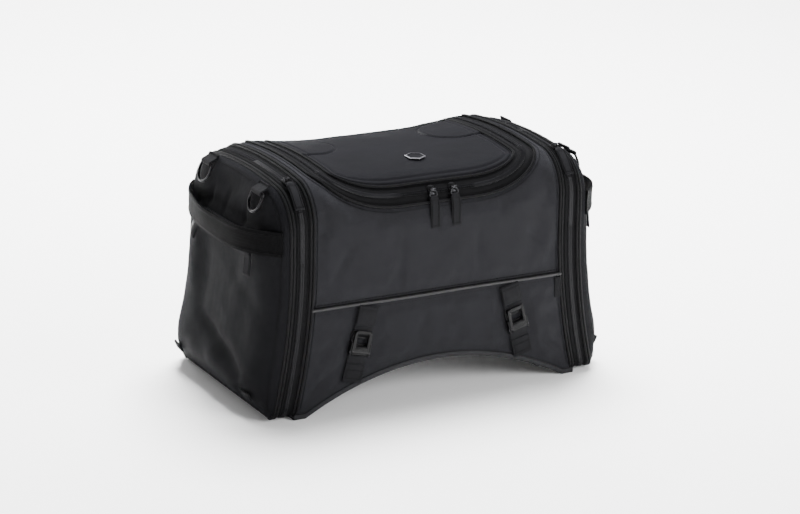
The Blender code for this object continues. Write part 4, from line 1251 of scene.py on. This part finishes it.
def make_pocket(name, side):
    line = pocket_line()
    along = tangents(line)
    n = np.stack([-along[:, 1], along[:, 0]], axis=1)
    body = f"side_{name}"

    def row(offset, lift):
        at = line + n * offset
        return on_side(side, at[:, 0], at[:, 1], lift)

    centre, up = row(0.0, 0.0021)
    for half, way in (("upper", 1), ("lower", -1)):
        near, far = row(0.0006 * way, 0.0017)[0], row(0.0090 * way, 0.0011)[0]
        nodes, phase = ([f"pocket_zip_{name}"], 0.0) if way > 0 else ([], 0.5)
        zip_half(f"pocket_{half}_{name}", body, near, far, up, centre, nodes, phase, seam=0.68)
        profile = ((0.0078, 0.0009), (0.0084, 0.0021), (0.0094, 0.0022), (0.0102, 0.0012), (0.0104, 0.0002))
        welt = np.array([row(offset * way, lift)[0] for offset, lift in profile])
        # The welt takes the side's darker nylon, painted shade, too.
        welt = sheet_shell(f"pocket_welt_{half}_{name}", welt, THIN_WEB, NYLON_SIDE_PAINTED_SHADE, INNER_POINT)
        place(welt, body, slot="nylon")
    for end, at in (("front", 3), ("rear", -4)):
        ahead = centre[at] - centre[at - 2]
        axes = np.array([[unit(ahead), unit(np.cross(up[at], ahead)), up[at]]])
        seat = np.array([centre[at] + up[at] * 0.0006])
        form = capsule(0.0052, 0.0009, 0.8, 8)
        place(scattered(f"pocket_stop_{end}_{name}", *form, seat, axes, METAL), body, slot="metal")


def make_handle(name, side):
    """Webbing strap that stands off the panel and runs into the seams at both ends."""
    y = np.linspace(-HANDLE_END, HANDLE_END, 131)
    t = np.clip(y / HANDLE_REACH, -1, 1)
    half = HANDLE_WIDTH / 2
    base = np.max([side_x(y, HANDLE_Z + step) for step in (-half, half, 0.0)], axis=0)
    stand = HANDLE_STAND * (1 - np.abs(t) ** np.where(t < 0, 4.4, 1.7))
    x = base + 0.0006 + stand * (1 - 0.30 * smoothstep(0.1, 0.8, t))
    for _ in range(3):
        x[1:-1] = (x[:-2] + 2 * x[1:-1] + x[2:]) / 4
    slope = unit(np.stack([np.gradient(x), np.gradient(y)], axis=1))
    normal = np.stack([slope[:, 1], -slope[:, 0], 0 * y], axis=1)
    middle = np.cos(pi * t / 2)
    twist = 0.0012 * np.sin(2.2 * pi * t + 0.6) * middle
    flip = np.array([side, 1, 1])

    def line(a, lift):
        """Points along the strap, a from its lower edge at -1 to its upper one at 1."""
        bow = 0.0010 * (1 - a * a) * middle + twist * a * 0.5
        level = HANDLE_Z + a * half * (1 - 0.09 * middle**4)
        return (np.stack([x, y, level], axis=1) + normal * (lift + bow)[:, None]) * flip

    across = np.linspace(-1, 1, 11)
    profile = [(k, 0.0) for k in across] + [(1.02, 0.5)] + [(k, 1.0) for k in across[::-1]] + [(-1.02, 0.5)]
    loops = []
    for a, h in profile:
        hem = 0.0007 * np.exp(-(((abs(a) - 0.86) / 0.10) ** 2)) if h else 0.0
        loops.append(line(a, WEB * h + hem))
    body = f"side_{name}"
    strap = swept(f"handle_web_{name}", np.stack(loops, axis=1), HANDLE_WEB)
    place(strap, body, f"handle_{name}", slot="webbing")
    for word, edge in (("upper", 0.76), ("lower", -0.76)):
        row = line(edge, WEB + 0.0003)
        sew(f"handle_stitches_{word}_{name}", row, normal * flip, body, "webbing", 0.0036)
    for word, face in (("front", -1), ("rear", 1)):
        rows = []
        for reach in (0.1155, 0.1215):
            at = np.interp(face * reach, y, x) + WEB + 0.0003
            heights = HANDLE_Z + np.linspace(-0.0125, 0.0125, 20)
            row = np.array([[side * at, face * reach, z] for z in heights])
            rows.append(stitches("row", row, (side * 0.92, face * 0.38, 0.0), 0.0028))
        place(joined(f"handle_tack_{word}_{name}", rows), body, slot="webbing")


def ring_axis(side, y):
    """Place and lean of a D-ring's bar."""
    wide = RING_WIDTH / 2 - RING_WIRE
    low_z = RING_Z - RING_HEIGHT + 2 * RING_WIRE
    levels = (RING_Z, (RING_Z + low_z) / 2, low_z)
    reach = [float(np.max(side_x(np.array([y - wide, y, y + wide]), z))) for z in levels]
    x = reach[0] + RING_WIRE + 0.0012 + max(0.0, reach[1] - (reach[0] + reach[2]) / 2)
    lean = atan2(reach[2] - reach[0], RING_Z - low_z)
    return x, Matrix.Translation((side * x, y, RING_Z)) @ Matrix.Rotation(-side * lean, 4, "Y")


def moved(points, matrix):
    matrix = np.array(matrix)
    return np.asarray(points) @ matrix[:3, :3].T + matrix[:3, 3]


def make_rings(name, side):
    for where, y in (("front", -RING_Y), ("rear", RING_Y)):
        x, matrix = ring_axis(side, y)
        half, tall = RING_WIDTH / 2 - RING_WIRE, RING_HEIGHT - 2 * RING_WIRE
        turn = np.linspace(0, pi, 40)
        bow = np.stack([0 * turn, half * np.cos(turn), -(tall - half) - half * np.sin(turn)], axis=1)
        bar = np.stack([np.zeros(20), np.linspace(-half, half, 20), np.zeros(20)], axis=1)
        bar = bar[np.abs(bar[:, 1]) < half - RING_CORNER]
        cut_off = RING_CORNER * 0.3
        path = np.vstack([bar, [[0, half - cut_off, -cut_off]], bow[bow[:, 2] < -RING_CORNER],
                          [[0, cut_off - half, -cut_off]]])
        path = resampled(path, 90, closed=True)
        for _ in range(3):
            path = (np.roll(path, 1, axis=0) + 2 * path + np.roll(path, -1, axis=0)) / 4
        ring = tube(f"ring_wire_{name}_{where}", moved(path, matrix), RING_WIRE, METAL, sides=14, closed=True)
        place(ring, f"ring_{name}_{where}", f"d_ring_{name}_{where}", slot="metal")
        make_ring_tab(name, side, where, y, x)


def make_ring_tab(name, side, where, y, x):
    sewn_z = RING_Z + 0.0062
    outer, inner = RING_WIRE + 0.0021, RING_WIRE + 0.0006
    sewn = float(side_x(y, sewn_z))
    t = np.linspace(0.95, -0.75, 12)
    out = np.stack([x + outer * np.cos(t), RING_Z + outer * np.sin(t)], axis=1)
    back = np.stack([x + inner * np.cos(t[::-1]), RING_Z + inner * np.sin(t[::-1])], axis=1)
    top = np.array([[sewn + 0.0020, sewn_z + 0.0042], [sewn + 0.0026, sewn_z + 0.0015]])
    low = np.array([[sewn + 0.0010, sewn_z - 0.0004], [sewn - 0.0002, sewn_z + 0.0036]])
    shape = np.vstack([top, out, back, low])
    middle = shape.mean(axis=0)
    loops = []
    for a in np.concatenate([[-1.0, -0.97], np.linspace(-0.9, 0.9, 7), [0.97, 1.0]]):
        at = middle + (shape - middle) * (0.82 if abs(a) > 0.99 else 1.0)
        loops.append([(side * px, y + a * RING_TAB / 2, pz) for px, pz in at])
    tab = swept(f"ring_web_{name}_{where}", loops, WEBBING)
    place(tab, f"side_{name}", f"ring_tab_{name}_{where}", slot="webbing")


def make_corner_loops(name, side):
    for where, face in (("front", -1), ("rear", 1)):
        y, z = face * LOOP_Y, LOOP_Z
        point, normal = on_side(side, y, z)
        along = unit(on_side(side, y + 0.003, z)[0] - point)
        up = np.cross(normal, along)
        if up[2] < 0:
            up, along = -up, -along
        a = np.linspace(-LOOP_REACH, LOOP_REACH, 15)[:, None]
        centres = point + along * a + normal * (0.0011 + 0.00042 * np.cos(a / LOOP_REACH * pi / 2))
        tab = band(f"corner_web_{name}_{where}", centres, up, normal, 0.011, 0.0024, WEBBING, 0.0004)
        place(tab, f"side_{name}", f"corner_loop_{name}_{where}", slot="webbing")
        rows = []
        for way in (-0.0072, 0.0072):
            row = point + along * way + normal * 0.0042 + up * np.linspace(-0.0045, 0.0045, 10)[:, None]
            rows.append(stitches("row", row, normal, 0.0024))
        place(joined(f"corner_stitches_{name}_{where}", rows), f"side_{name}", slot="webbing")


# ---- sliders and pulls ---------------------------------------------------------------------
def seat_matrix(origin, across, along):
    x = Vector(across).normalized()
    z = x.cross(Vector(along)).normalized()
    matrix = Matrix((x, z.cross(x), z)).transposed().to_4x4()
    matrix.translation = Vector(origin)
    return matrix


def slider_piece(name):
    """Slider body with shoulders, a bridge and its hinge pin."""
    plate = cube("plate", (0.0085, 0.0115, 0.0022), (0, 0, 0.0017), METAL, 0.0007, 3)
    crest = cube("crest", (0.0060, 0.0094, 0.0012), (0, 0, 0.0030), METAL, 0.0005, 3, taper=0.8)
    nose = cube("nose", (0.0048, 0.0030, 0.0018), (0, 0.0052, 0.0017), METAL, 0.0006, 3)
    ear, apart = (0.0011, 0.0026, 0.0044), 0.00345
    ears = [cube("ear", ear, (x, 0, 0.0049), METAL) for x in (-apart, apart)]
    pin = rod("pin", 0.0007, 0.0066, (0, 0, PIN_LIFT), METAL)
    return joined(name, [plate, crest, nose, pin, *ears])


def pull_piece(name, length, drape=None):
    """Metal eye and ring with a folded webbing tail that bends in a radius of drape."""
    turn = np.linspace(0, 2 * pi, 40, endpoint=False)
    eye_path = np.stack([0 * turn, 0.00125 * np.cos(turn), 0.00125 * np.sin(turn)], axis=1)
    eye = tube("eye", eye_path[::2], 0.00045, METAL, sides=8, closed=True)
    for v in eye.data.vertices:
        v.co.x *= 4.6
    radius = 0.0048
    ring_path = np.stack([radius * np.sin(turn), -0.0016 - radius + radius * np.cos(turn), 0 * turn], axis=1)
    ring = tube("ring", ring_path, 0.0008, METAL, sides=10, closed=True)
    start, end = 0.0099, length - 0.004

    def bent(x, run, height):
        """A point of the tail: run along it from the pin and height above its middle."""
        d = np.maximum(run - start, -0.003)
        angle = d / drape if drape else 0 * d
        y = -start - (drape * np.sin(angle) if drape else d)
        z = -drape * (1 - np.cos(angle)) if drape else 0 * d
        y, z = y - height * np.sin(angle), z + height * np.cos(angle)
        return np.stack(np.broadcast_arrays(x, y, z), axis=-1)

    def sway(run):
        return 0.0006 * np.sin((run - start) * 160)

    def sewn(x, run, height, pitch):
        row = bent(x, run, height)
        return stitches("row", row, unit(bent(x, run, 0.002) - row), pitch)

    runs = np.concatenate([start + np.array([-0.0020, -0.0010, 0.0004, 0.0022]),
                           np.linspace(start + 0.005, end - 0.002, 20), [end, end + 0.0003]])
    width_at = [start - 0.002, start + 0.0004, start + 0.003, end - 0.002, end, end + 0.0003]
    width = np.interp(runs, width_at, [0.60, 0.74, 1.0, 1.0, 1.03, 0.98]) + 0.012 * np.sin(runs * 700)
    thick_at = [start - 0.002, start - 0.001, start + 0.0022, start + 0.006, end - 0.001, end + 0.0003]
    thick = np.interp(runs, thick_at, [0.5, 1.5, 1.75, 1.0, 1.0, 0.4])
    profile = [(-1.0, -0.5), (-0.92, -1.0), (-0.5, -1.0), (0.0, -1.0), (0.5, -1.0), (0.92, -1.0), (1.0, -0.5),
               (1.0, 0.5), (0.92, 1.0), (0.5, 1.12), (0.0, 1.18), (-0.5, 1.12), (-0.92, 1.0), (-1.0, 0.5)]
    loops = [bent(a * PULL_WIDTH / 2 * width + sway(runs), runs, h * 0.00095 * thick) for a, h in profile]
    tab = swept("tab", np.stack(loops, axis=1), WEBBING)
    edge = 0.0046
    inner = np.linspace(start + 0.0045, end - 0.0030, 24)
    rows = [sewn(x + sway(inner), inner, 0.00112, 0.0030) for x in (-edge, edge)]
    across = np.linspace(-edge, edge, 12)
    rows += [sewn(across, np.full(12, run), 0.00115, 0.0028) for run in (inner[0], inner[-1])]
    return joined(name, [eye, ring, tab, *rows])


def slider_pair(kind, name, matrix, droop, length=PULL_LENGTH, drape=None):
    """A slider and its pull for one of the lid's, the expansion's or the pocket's zips."""
    slider = slider_piece(f"{kind}_{name}_slider_body")
    slider.matrix_world = matrix
    place(slider, f"{kind}_slider_{name}", f"{kind}_{name}_slider", slot="metal")
    pull = pull_piece(f"{kind}_{name}_pull_tail", length, drape)
    pull.matrix_world = matrix @ Matrix.Translation((0, 0, PIN_LIFT)) @ Matrix.Rotation(droop, 4, "X")
    place(pull, f"{kind}_pull_{name}", f"{kind}_{name}_pull", slot="webbing")


def make_sliders():
    for (name, _), x in zip(SIDES, LID_PARK):
        here, above, below = (over_top(x, LID_FRONT + step) for step in (0.0, -0.004, 0.004))
        slider_pair("lid", name, seat_matrix(here, (1, 0, 0), above - below), LID_DROOP, drape=LID_DRAPE)
    for name, side in SIDES:
        out = np.array([0, -cos(EXPANSION_PARK), sin(EXPANSION_PARK)])
        end = HALF_TOP + EXPANSION_DX
        middle = np.array([side * end, CORNER - DEPTH_TOP, float(corner_z(end))])
        seat = seat_matrix(middle + CORNER * out, (1, 0, 0), (0, out[2], -out[1]))
        slider_pair("expansion", name, seat, EXPANSION_DROOP, drape=EXPANSION_DRAPE)

        def on_tape(y, z):
            return np.array([side * (float(side_x(y, z)) + 0.0026), y, z])

        y, z, step = POCKET_PARK, POCKET_Z, 0.004
        across = (on_tape(y + step, z) - on_tape(y - step, z)) * side
        seat = seat_matrix(on_tape(y, z), across, on_tape(y, z + step) - on_tape(y, z - step))
        slider_pair("pocket", name, seat, POCKET_DROOP, length=POCKET_PULL)


# ---- straps and buckles --------------------------------------------------------------------
def strap_frame(side):
    lean = atan2(DEPTH_FLOOR - DEPTH_TOP, corner_z(0.0))
    seat = Matrix.Translation((side * BUCKLE_X, -front_depth(BUCKLE_Z), BUCKLE_Z))
    return seat @ Matrix.Rotation(pi / 2 - lean, 4, "X") @ Matrix.Rotation(side * STRAP_TILT, 4, "Z")


def strap(name, profile, matrix, *nodes, width=STRAP_WIDTH):
    """Webbing along (distance, height) points, its lower face on them."""
    path = resampled(profile, pitch=0.001)
    centres = np.stack([0 * path[:, 0], path[:, 0], path[:, 1]], axis=1)
    up = np.cross((1.0, 0.0, 0.0), tangents(centres))
    up = np.where(up[:, 2:3] < 0, -up, up)
    turned = np.array(matrix)[:3, :3].T
    made = band(name, moved(centres, matrix), turned[0], up @ turned, width, WEB, WEBBING, 0.0002)
    place(made, "bag", *nodes, slot="webbing")


def stitched_line(start, end, height, matrix):
    path = np.array([[x, y, height] for x, y in np.linspace(start, end, 16)])
    return stitches("row", moved(path, matrix), np.array(matrix)[:3, 2], 0.0030)


def make_straps():
    lay, edge = 0.0004, BUCKLE_HEIGHT / 2
    for name, side in SIDES:
        matrix = strap_frame(side)
        upper = [(0.0440, lay), (0.030, lay), (0.0225, 0.0012), (edge + 0.0004, 0.0014)]
        upper_fold = [(0.0462, lay + 0.0006), (0.0468, 0.0022), (0.0452, 0.0036), (0.0380, 0.0040),
                      (0.0300, 0.0042), (0.0245, 0.0036), (0.0230, 0.0026)]
        lower = [(-edge - 0.0006, 0.0014), (-0.022, 0.0009), (-0.030, lay), (-0.0505, lay)]
        lower_fold = [(-0.0270, 0.0020), (-0.0300, 0.0024), (-0.0400, 0.0025), (-0.0495, 0.0024)]
        strap(f"upper_strap_{name}", upper, matrix, f"strap_upper_{name}")
        strap(f"upper_fold_{name}", upper_fold, matrix, width=0.0258)
        strap(f"lower_strap_{name}", lower, matrix, f"strap_lower_{name}")
        strap(f"lower_fold_{name}", lower_fold, matrix, width=0.0262)
        x, top, box = 0.0105, 0.0425, (-0.0345, -0.0450)
        rows = [stitched_line((-x, top), (x, top), 0.0060, matrix)]
        rows += [stitched_line((-x, y), (x, y), 0.0046, matrix) for y in box]
        rows += [stitched_line((way, box[0]), (way, box[1]), 0.0046, matrix) for way in (-x, x)]
        place(joined(f"strap_stitches_{name}", rows), "bag", slot="webbing")
        make_buckle(name, matrix)


def rounded_plate(name, width, height, thickness, corner, centre, material, bevel=0.0005):
    """A plate with rounded corners and softened edges."""
    form = bmesh.new()
    points = []
    for k in range(4):
        for j in range(7):
            turn = pi / 2 * (k + j / 6)
            sx, sy = (1, -1, -1, 1)[k], (1, 1, -1, -1)[k]
            x, y = sx * (width / 2 - corner), sy * (height / 2 - corner)
            points.append((x + corner * cos(turn), y + corner * sin(turn)))
    low = [form.verts.new((x + centre[0], y + centre[1], centre[2] - thickness / 2)) for x, y in points]
    high = [form.verts.new((x + centre[0], y + centre[1], centre[2] + thickness / 2)) for x, y in points]
    form.faces.new(list(reversed(low)))
    form.faces.new(high)
    for k in range(len(points)):
        n = (k + 1) % len(points)
        form.faces.new((low[k], low[n], high[n], high[k]))
    rim = [e for e in form.edges if len({v in low for v in e.verts}) == 1]
    bmesh.ops.bevel(form, geom=rim, offset=bevel, segments=3, profile=0.6, affect="EDGES")
    return from_form(name, form, material, 35)


def make_buckle(name, matrix):
    wide, tall, thick = BUCKLE_WIDTH, BUCKLE_HEIGHT, BUCKLE_PLATE
    plate = rounded_plate("plate", wide, tall, thick, 0.0020, (0, 0, BUCKLE_LIFT + thick / 2), BUCKLE)
    window = rounded_plate("window", wide - 0.008, 0.011, 0.02, 0.0012, (0, 0.0025, 0), BUCKLE)
    plate = cut(plate, [window])
    rails, ends = [], []
    for s in (-1, 1):
        at = s * (wide - BUCKLE_RAIL) / 2
        rails.append(cube("rail", (BUCKLE_RAIL, 0.016, 0.0056), (at, -0.0070, 0.0047), BUCKLE, 0.0007, 3))
        ends.append(rod("pin_end", 0.0015, 0.0004, (s * (wide / 2 + 0.0001), PIN_V, PIN_H), METAL))
    bar = (wide - 0.0094, 0.0018, 0.0018)
    bars = [cube("bar", bar, (0, y, 0.0026), BUCKLE, 0.0006, 3) for y in (-0.0022, 0.0072)]
    pin = rod("pin", PIN_RADIUS, wide - BUCKLE_RAIL / 2, (0, PIN_V, PIN_H), METAL)
    base = joined(f"buckle_base_{name}", [plate, pin, *rails, *bars, *ends])
    base.matrix_world = matrix
    place(base, "bag", f"buckle_frame_{name}", slot="metal")

    span = wide - 2 * BUCKLE_RAIL - 0.0010
    seat = (0, LEVER_CENTRE, 0.0005)
    body = rounded_plate("lever", span, LEVER_LENGTH, 0.0026, 0.0038, seat, BUCKLE, 0.0009)
    hole = rounded_plate("hole", span - 0.008, 0.0140, 0.02, 0.0018, (0, LEVER_CENTRE + 0.0030, 0), BUCKLE)
    boss = rod("boss", 0.0024, span, (0, 0, 0), BUCKLE, 28)
    bore = rod("bore", PIN_RADIUS + 0.00025, 0.06, (0, 0, 0), BUCKLE, 20)
    grip = (span - 0.006, 0.0007, 0.0006)
    grips = [cube("grip", grip, (0, y, 0.0019), BUCKLE, 0.0002, 2) for y in (0.0036, 0.0050)]
    lever = joined(f"buckle_flap_{name}", [cut(boss, [bore]), cut(body, [hole]), *grips])
    lever.matrix_world = matrix @ Matrix.Translation((0, PIN_V, PIN_H))
    place(lever, f"lever_{name}", f"buckle_lever_{name}", slot="metal")


# ---- lid -----------------------------------------------------------------------------------
def groove(distance, width=0.0011, depth=0.0007):
    return -depth * np.exp(-((distance / width) ** 2))


def make_lid():
    x = np.linspace(-0.136, 0.136, LID_COLUMNS)[None, :]
    s = np.linspace(LID_FRONT + 0.004, LID_REAR - 0.002, LID_ROWS)[:, None]
    flat = np.stack(np.broadcast_arrays(x, s), axis=-1)
    outline = lid_line(-0.0146)
    outline[[0, -1], 1] = LID_REAR + 0.0021
    flat, stay = trimmed(flat, outline, keep_inside=True)
    rim = resampled(outline, pitch=0.001, closed=True)
    to_rim, _ = nearest(flat, rim)
    inner = lid_line(-0.0225)
    inner = inner[inner[:, 1] > LID_REAR + 0.010]
    to_inner, _ = nearest(flat, resampled(inner, pitch=0.001))
    within = inside(flat, inner)
    lift = 0.0006 - 0.0009 * np.exp(-to_rim / 0.0011) + groove(to_inner)
    lift += 0.0007 * within * smoothstep(0.0, 0.004, to_inner)
    turn = np.linspace(pi / 2, -pi / 2, 80)
    bow = np.stack([TONGUE_X - TONGUE_RADIUS * np.cos(turn), TONGUE_S + TONGUE_RADIUS * np.sin(turn)], axis=1)
    ends = [[(TONGUE_END, TONGUE_S + way * TONGUE_RADIUS)] for way in (1, -1)]
    for side in (-1, 1):
        tongue = resampled(np.vstack([ends[0], bow, ends[1]]) * (side, 1), pitch=0.001)
        to_tongue, _ = nearest(flat, tongue)
        lift += groove(to_tongue, 0.0017, 0.0013)
        lift += 0.0011 * smoothstep(0.0, 0.003, to_tongue) * inside(flat, tongue)
    lift += 0.00025 * ripples(flat[..., 0], flat[..., 1], 31, 0.08, 2)
    points = over_top(flat[..., 0], flat[..., 1], lift)
    panel = sheet_shell("lid_skin", points, 0.0034, MOULDED, INNER_POINT, stay)
    second_material(panel, LINING, lambda polygon: polygon.normal.z < -0.3)
    place(panel, "lid", "lid_panel", slot="moulded")
    cord = tube("lid_cord", over_line(lid_line(-0.0127), 0.0004), THIN_CORD, PIPING)
    place(cord, "lid", "lid_piping", slot="piping")
    line = lid_line(-0.0172)
    line = line[line[:, 1] > LID_REAR + 0.006]
    row = over_line(line, 0.0007)
    sew("lid_stitches", row, unit(over_line(line, 0.003) - row), "lid", "moulded")
    make_hinge_strip()
    make_badge()


def make_hinge_strip():
    """Cloth that joins the lid's rear edge to the bag."""
    x = np.linspace(-0.1265, 0.1265, 90)[None, :]
    s = np.linspace(LID_REAR - 0.010, LID_REAR + 0.010, 22)[:, None]
    rise = 0.0010 + 0.0004 * np.exp(-(((s - LID_REAR) / 0.003) ** 2)) + 0 * x
    strip = sheet_shell("hinge_strip", over_top(x, s, rise), 0.0008, PIPING, INNER_POINT)
    ends = [over_top(0.0, LID_REAR + step).tolist() for step in (-0.004, 0.007)]
    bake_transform(strip)
    for body, step in (("bag", -0.0082), ("lid", 0.0085)):
        row = over_top(x[0], LID_REAR + step, 0.0012)
        sew(f"hinge_stitches_{body}", row, (0.0, 0.1, 1.0), body, "nylon", 0.0036)


def make_badge():
    """Plain hexagon with a raised rim and a centre in the lid's own finish."""
    turn = np.linspace(0, 2 * pi, 6, endpoint=False) + pi / 2
    profile = ((0.0132, -0.0005), (0.0132, 0.0003), (0.0127, 0.0008),
               (0.0116, 0.0008), (0.0110, 0.0001), (0.0040, 0.0001))
    loops = []
    for radius, z in profile:
        corners = np.stack([radius * np.cos(turn), radius * np.sin(turn), 0 * turn + z], axis=1)
        loops.append(resampled(corners, 48, closed=True))
    badge = swept("badge_plate", loops, SATIN, sharp=25)

    def in_centre(polygon):
        centre = polygon.center
        return centre.z < 0.0005 and centre.xy.length < 0.0118 and polygon.normal.z > 0.5

    second_material(badge, MOULDED, in_centre)
    low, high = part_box("lid_badge")
    badge.location = (low + high) / 2
    place(badge, "lid", "lid_badge", slot="badge")


def make_label():
    low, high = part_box("seam_label")
    label = cube("side_label", high - low, (0, 0, 0), WEBBING, 0.0003, 2)
    label.location = (low + high) / 2
    place(label, "bag", "seam_label", slot="webbing")


# ---- camera, light and floor ---------------------------------------------------------------
def make_stage():
    reach = 6
    corners = [(-reach, -reach, 0), (reach, -reach, 0), (reach, reach, 0), (-reach, reach, 0)]
    floor = mesh_object("floor", corners, [(0, 1, 2, 3)], painted_floor())
    floor.location.z = -0.0003
    world = bpy.data.worlds.new("studio")
    world.use_nodes = True
    background = world.node_tree.nodes["Background"]
    background.inputs["Color"].default_value = (1.0, 1.0, 1.0, 1)
    background.inputs["Strength"].default_value = 0.26
    bpy.context.scene.world = world
    for name, place_at, aim, size, power in (
        ("overhead", (0.5, 0.9, 2.5), (0, 0.3, 0.0), 1.5, 440),
        ("front_right", (1.5, -2.5, 1.3), (0, 0, 0.15), 1.5, 120),
        ("front_left", (-1.7, -1.7, 0.35), (-0.24, -0.1, 0.06), 0.9, 16),
        ("rear_fill", (-0.6, 2.9, 1.1), (0, 0, 0.2), 1.6, 50),
        ("background", (1.7, 2.7, 2.4), (1.3, 2.3, 0.0), 2.0, 220),
    ):
        light = bpy.data.lights.new(name, "AREA")
        light.size, light.energy = size, power
        lamp = linked(name, light)
        lamp.location = place_at
        lamp.rotation_euler = (Vector(aim) - Vector(place_at)).to_track_quat("-Z", "Y").to_euler()
        lamp.visible_glossy = name not in ("background", "overhead")
        lamp.visible_camera = False


def make_camera():
    """The photograph's view."""
    yaw, rise, roll = radians(28.911), radians(17.72), radians(1.213)
    back = Vector((-sin(yaw) * cos(rise), -cos(yaw) * cos(rise), sin(rise)))
    right = Vector((cos(yaw), -sin(yaw), 0))
    up = back.cross(right)
    x = right * cos(roll) + up * sin(roll)
    y = up * cos(roll) - right * sin(roll)
    data = bpy.data.cameras.new("photo_view")
    data.lens, data.sensor_width = 121.23, 36
    camera = linked("photo_view", data)
    matrix = Matrix((x, y, back)).transposed().to_4x4()
    matrix.translation = Vector((-1.56084, -2.85602, 1.18262))
    camera.matrix_world = matrix
    bpy.context.scene.camera = camera


def refinish(node, material):
    """A CAD node that stays gets the detailed material."""
    materials = NODES[node].data.materials
    materials.clear()
    materials.append(material)


def main():
    make_stage()
    make_camera()
    make_upper_body()
    make_lower_front()
    make_base()
    make_front_seam()
    make_opening_piping()
    make_lid()
    make_lid_zip()
    make_straps()
    make_label()
    make_sliders()
    for name, side in SIDES:
        make_end_piping(name, side)
        make_end_zip(name, side)
        make_side(name, side)
        make_gusset(name, side)
        make_pocket(name, side)
        make_handle(name, side)
        make_rings(name, side)
        make_corner_loops(name, side)
    refinish("base_board", BOARD)


main()
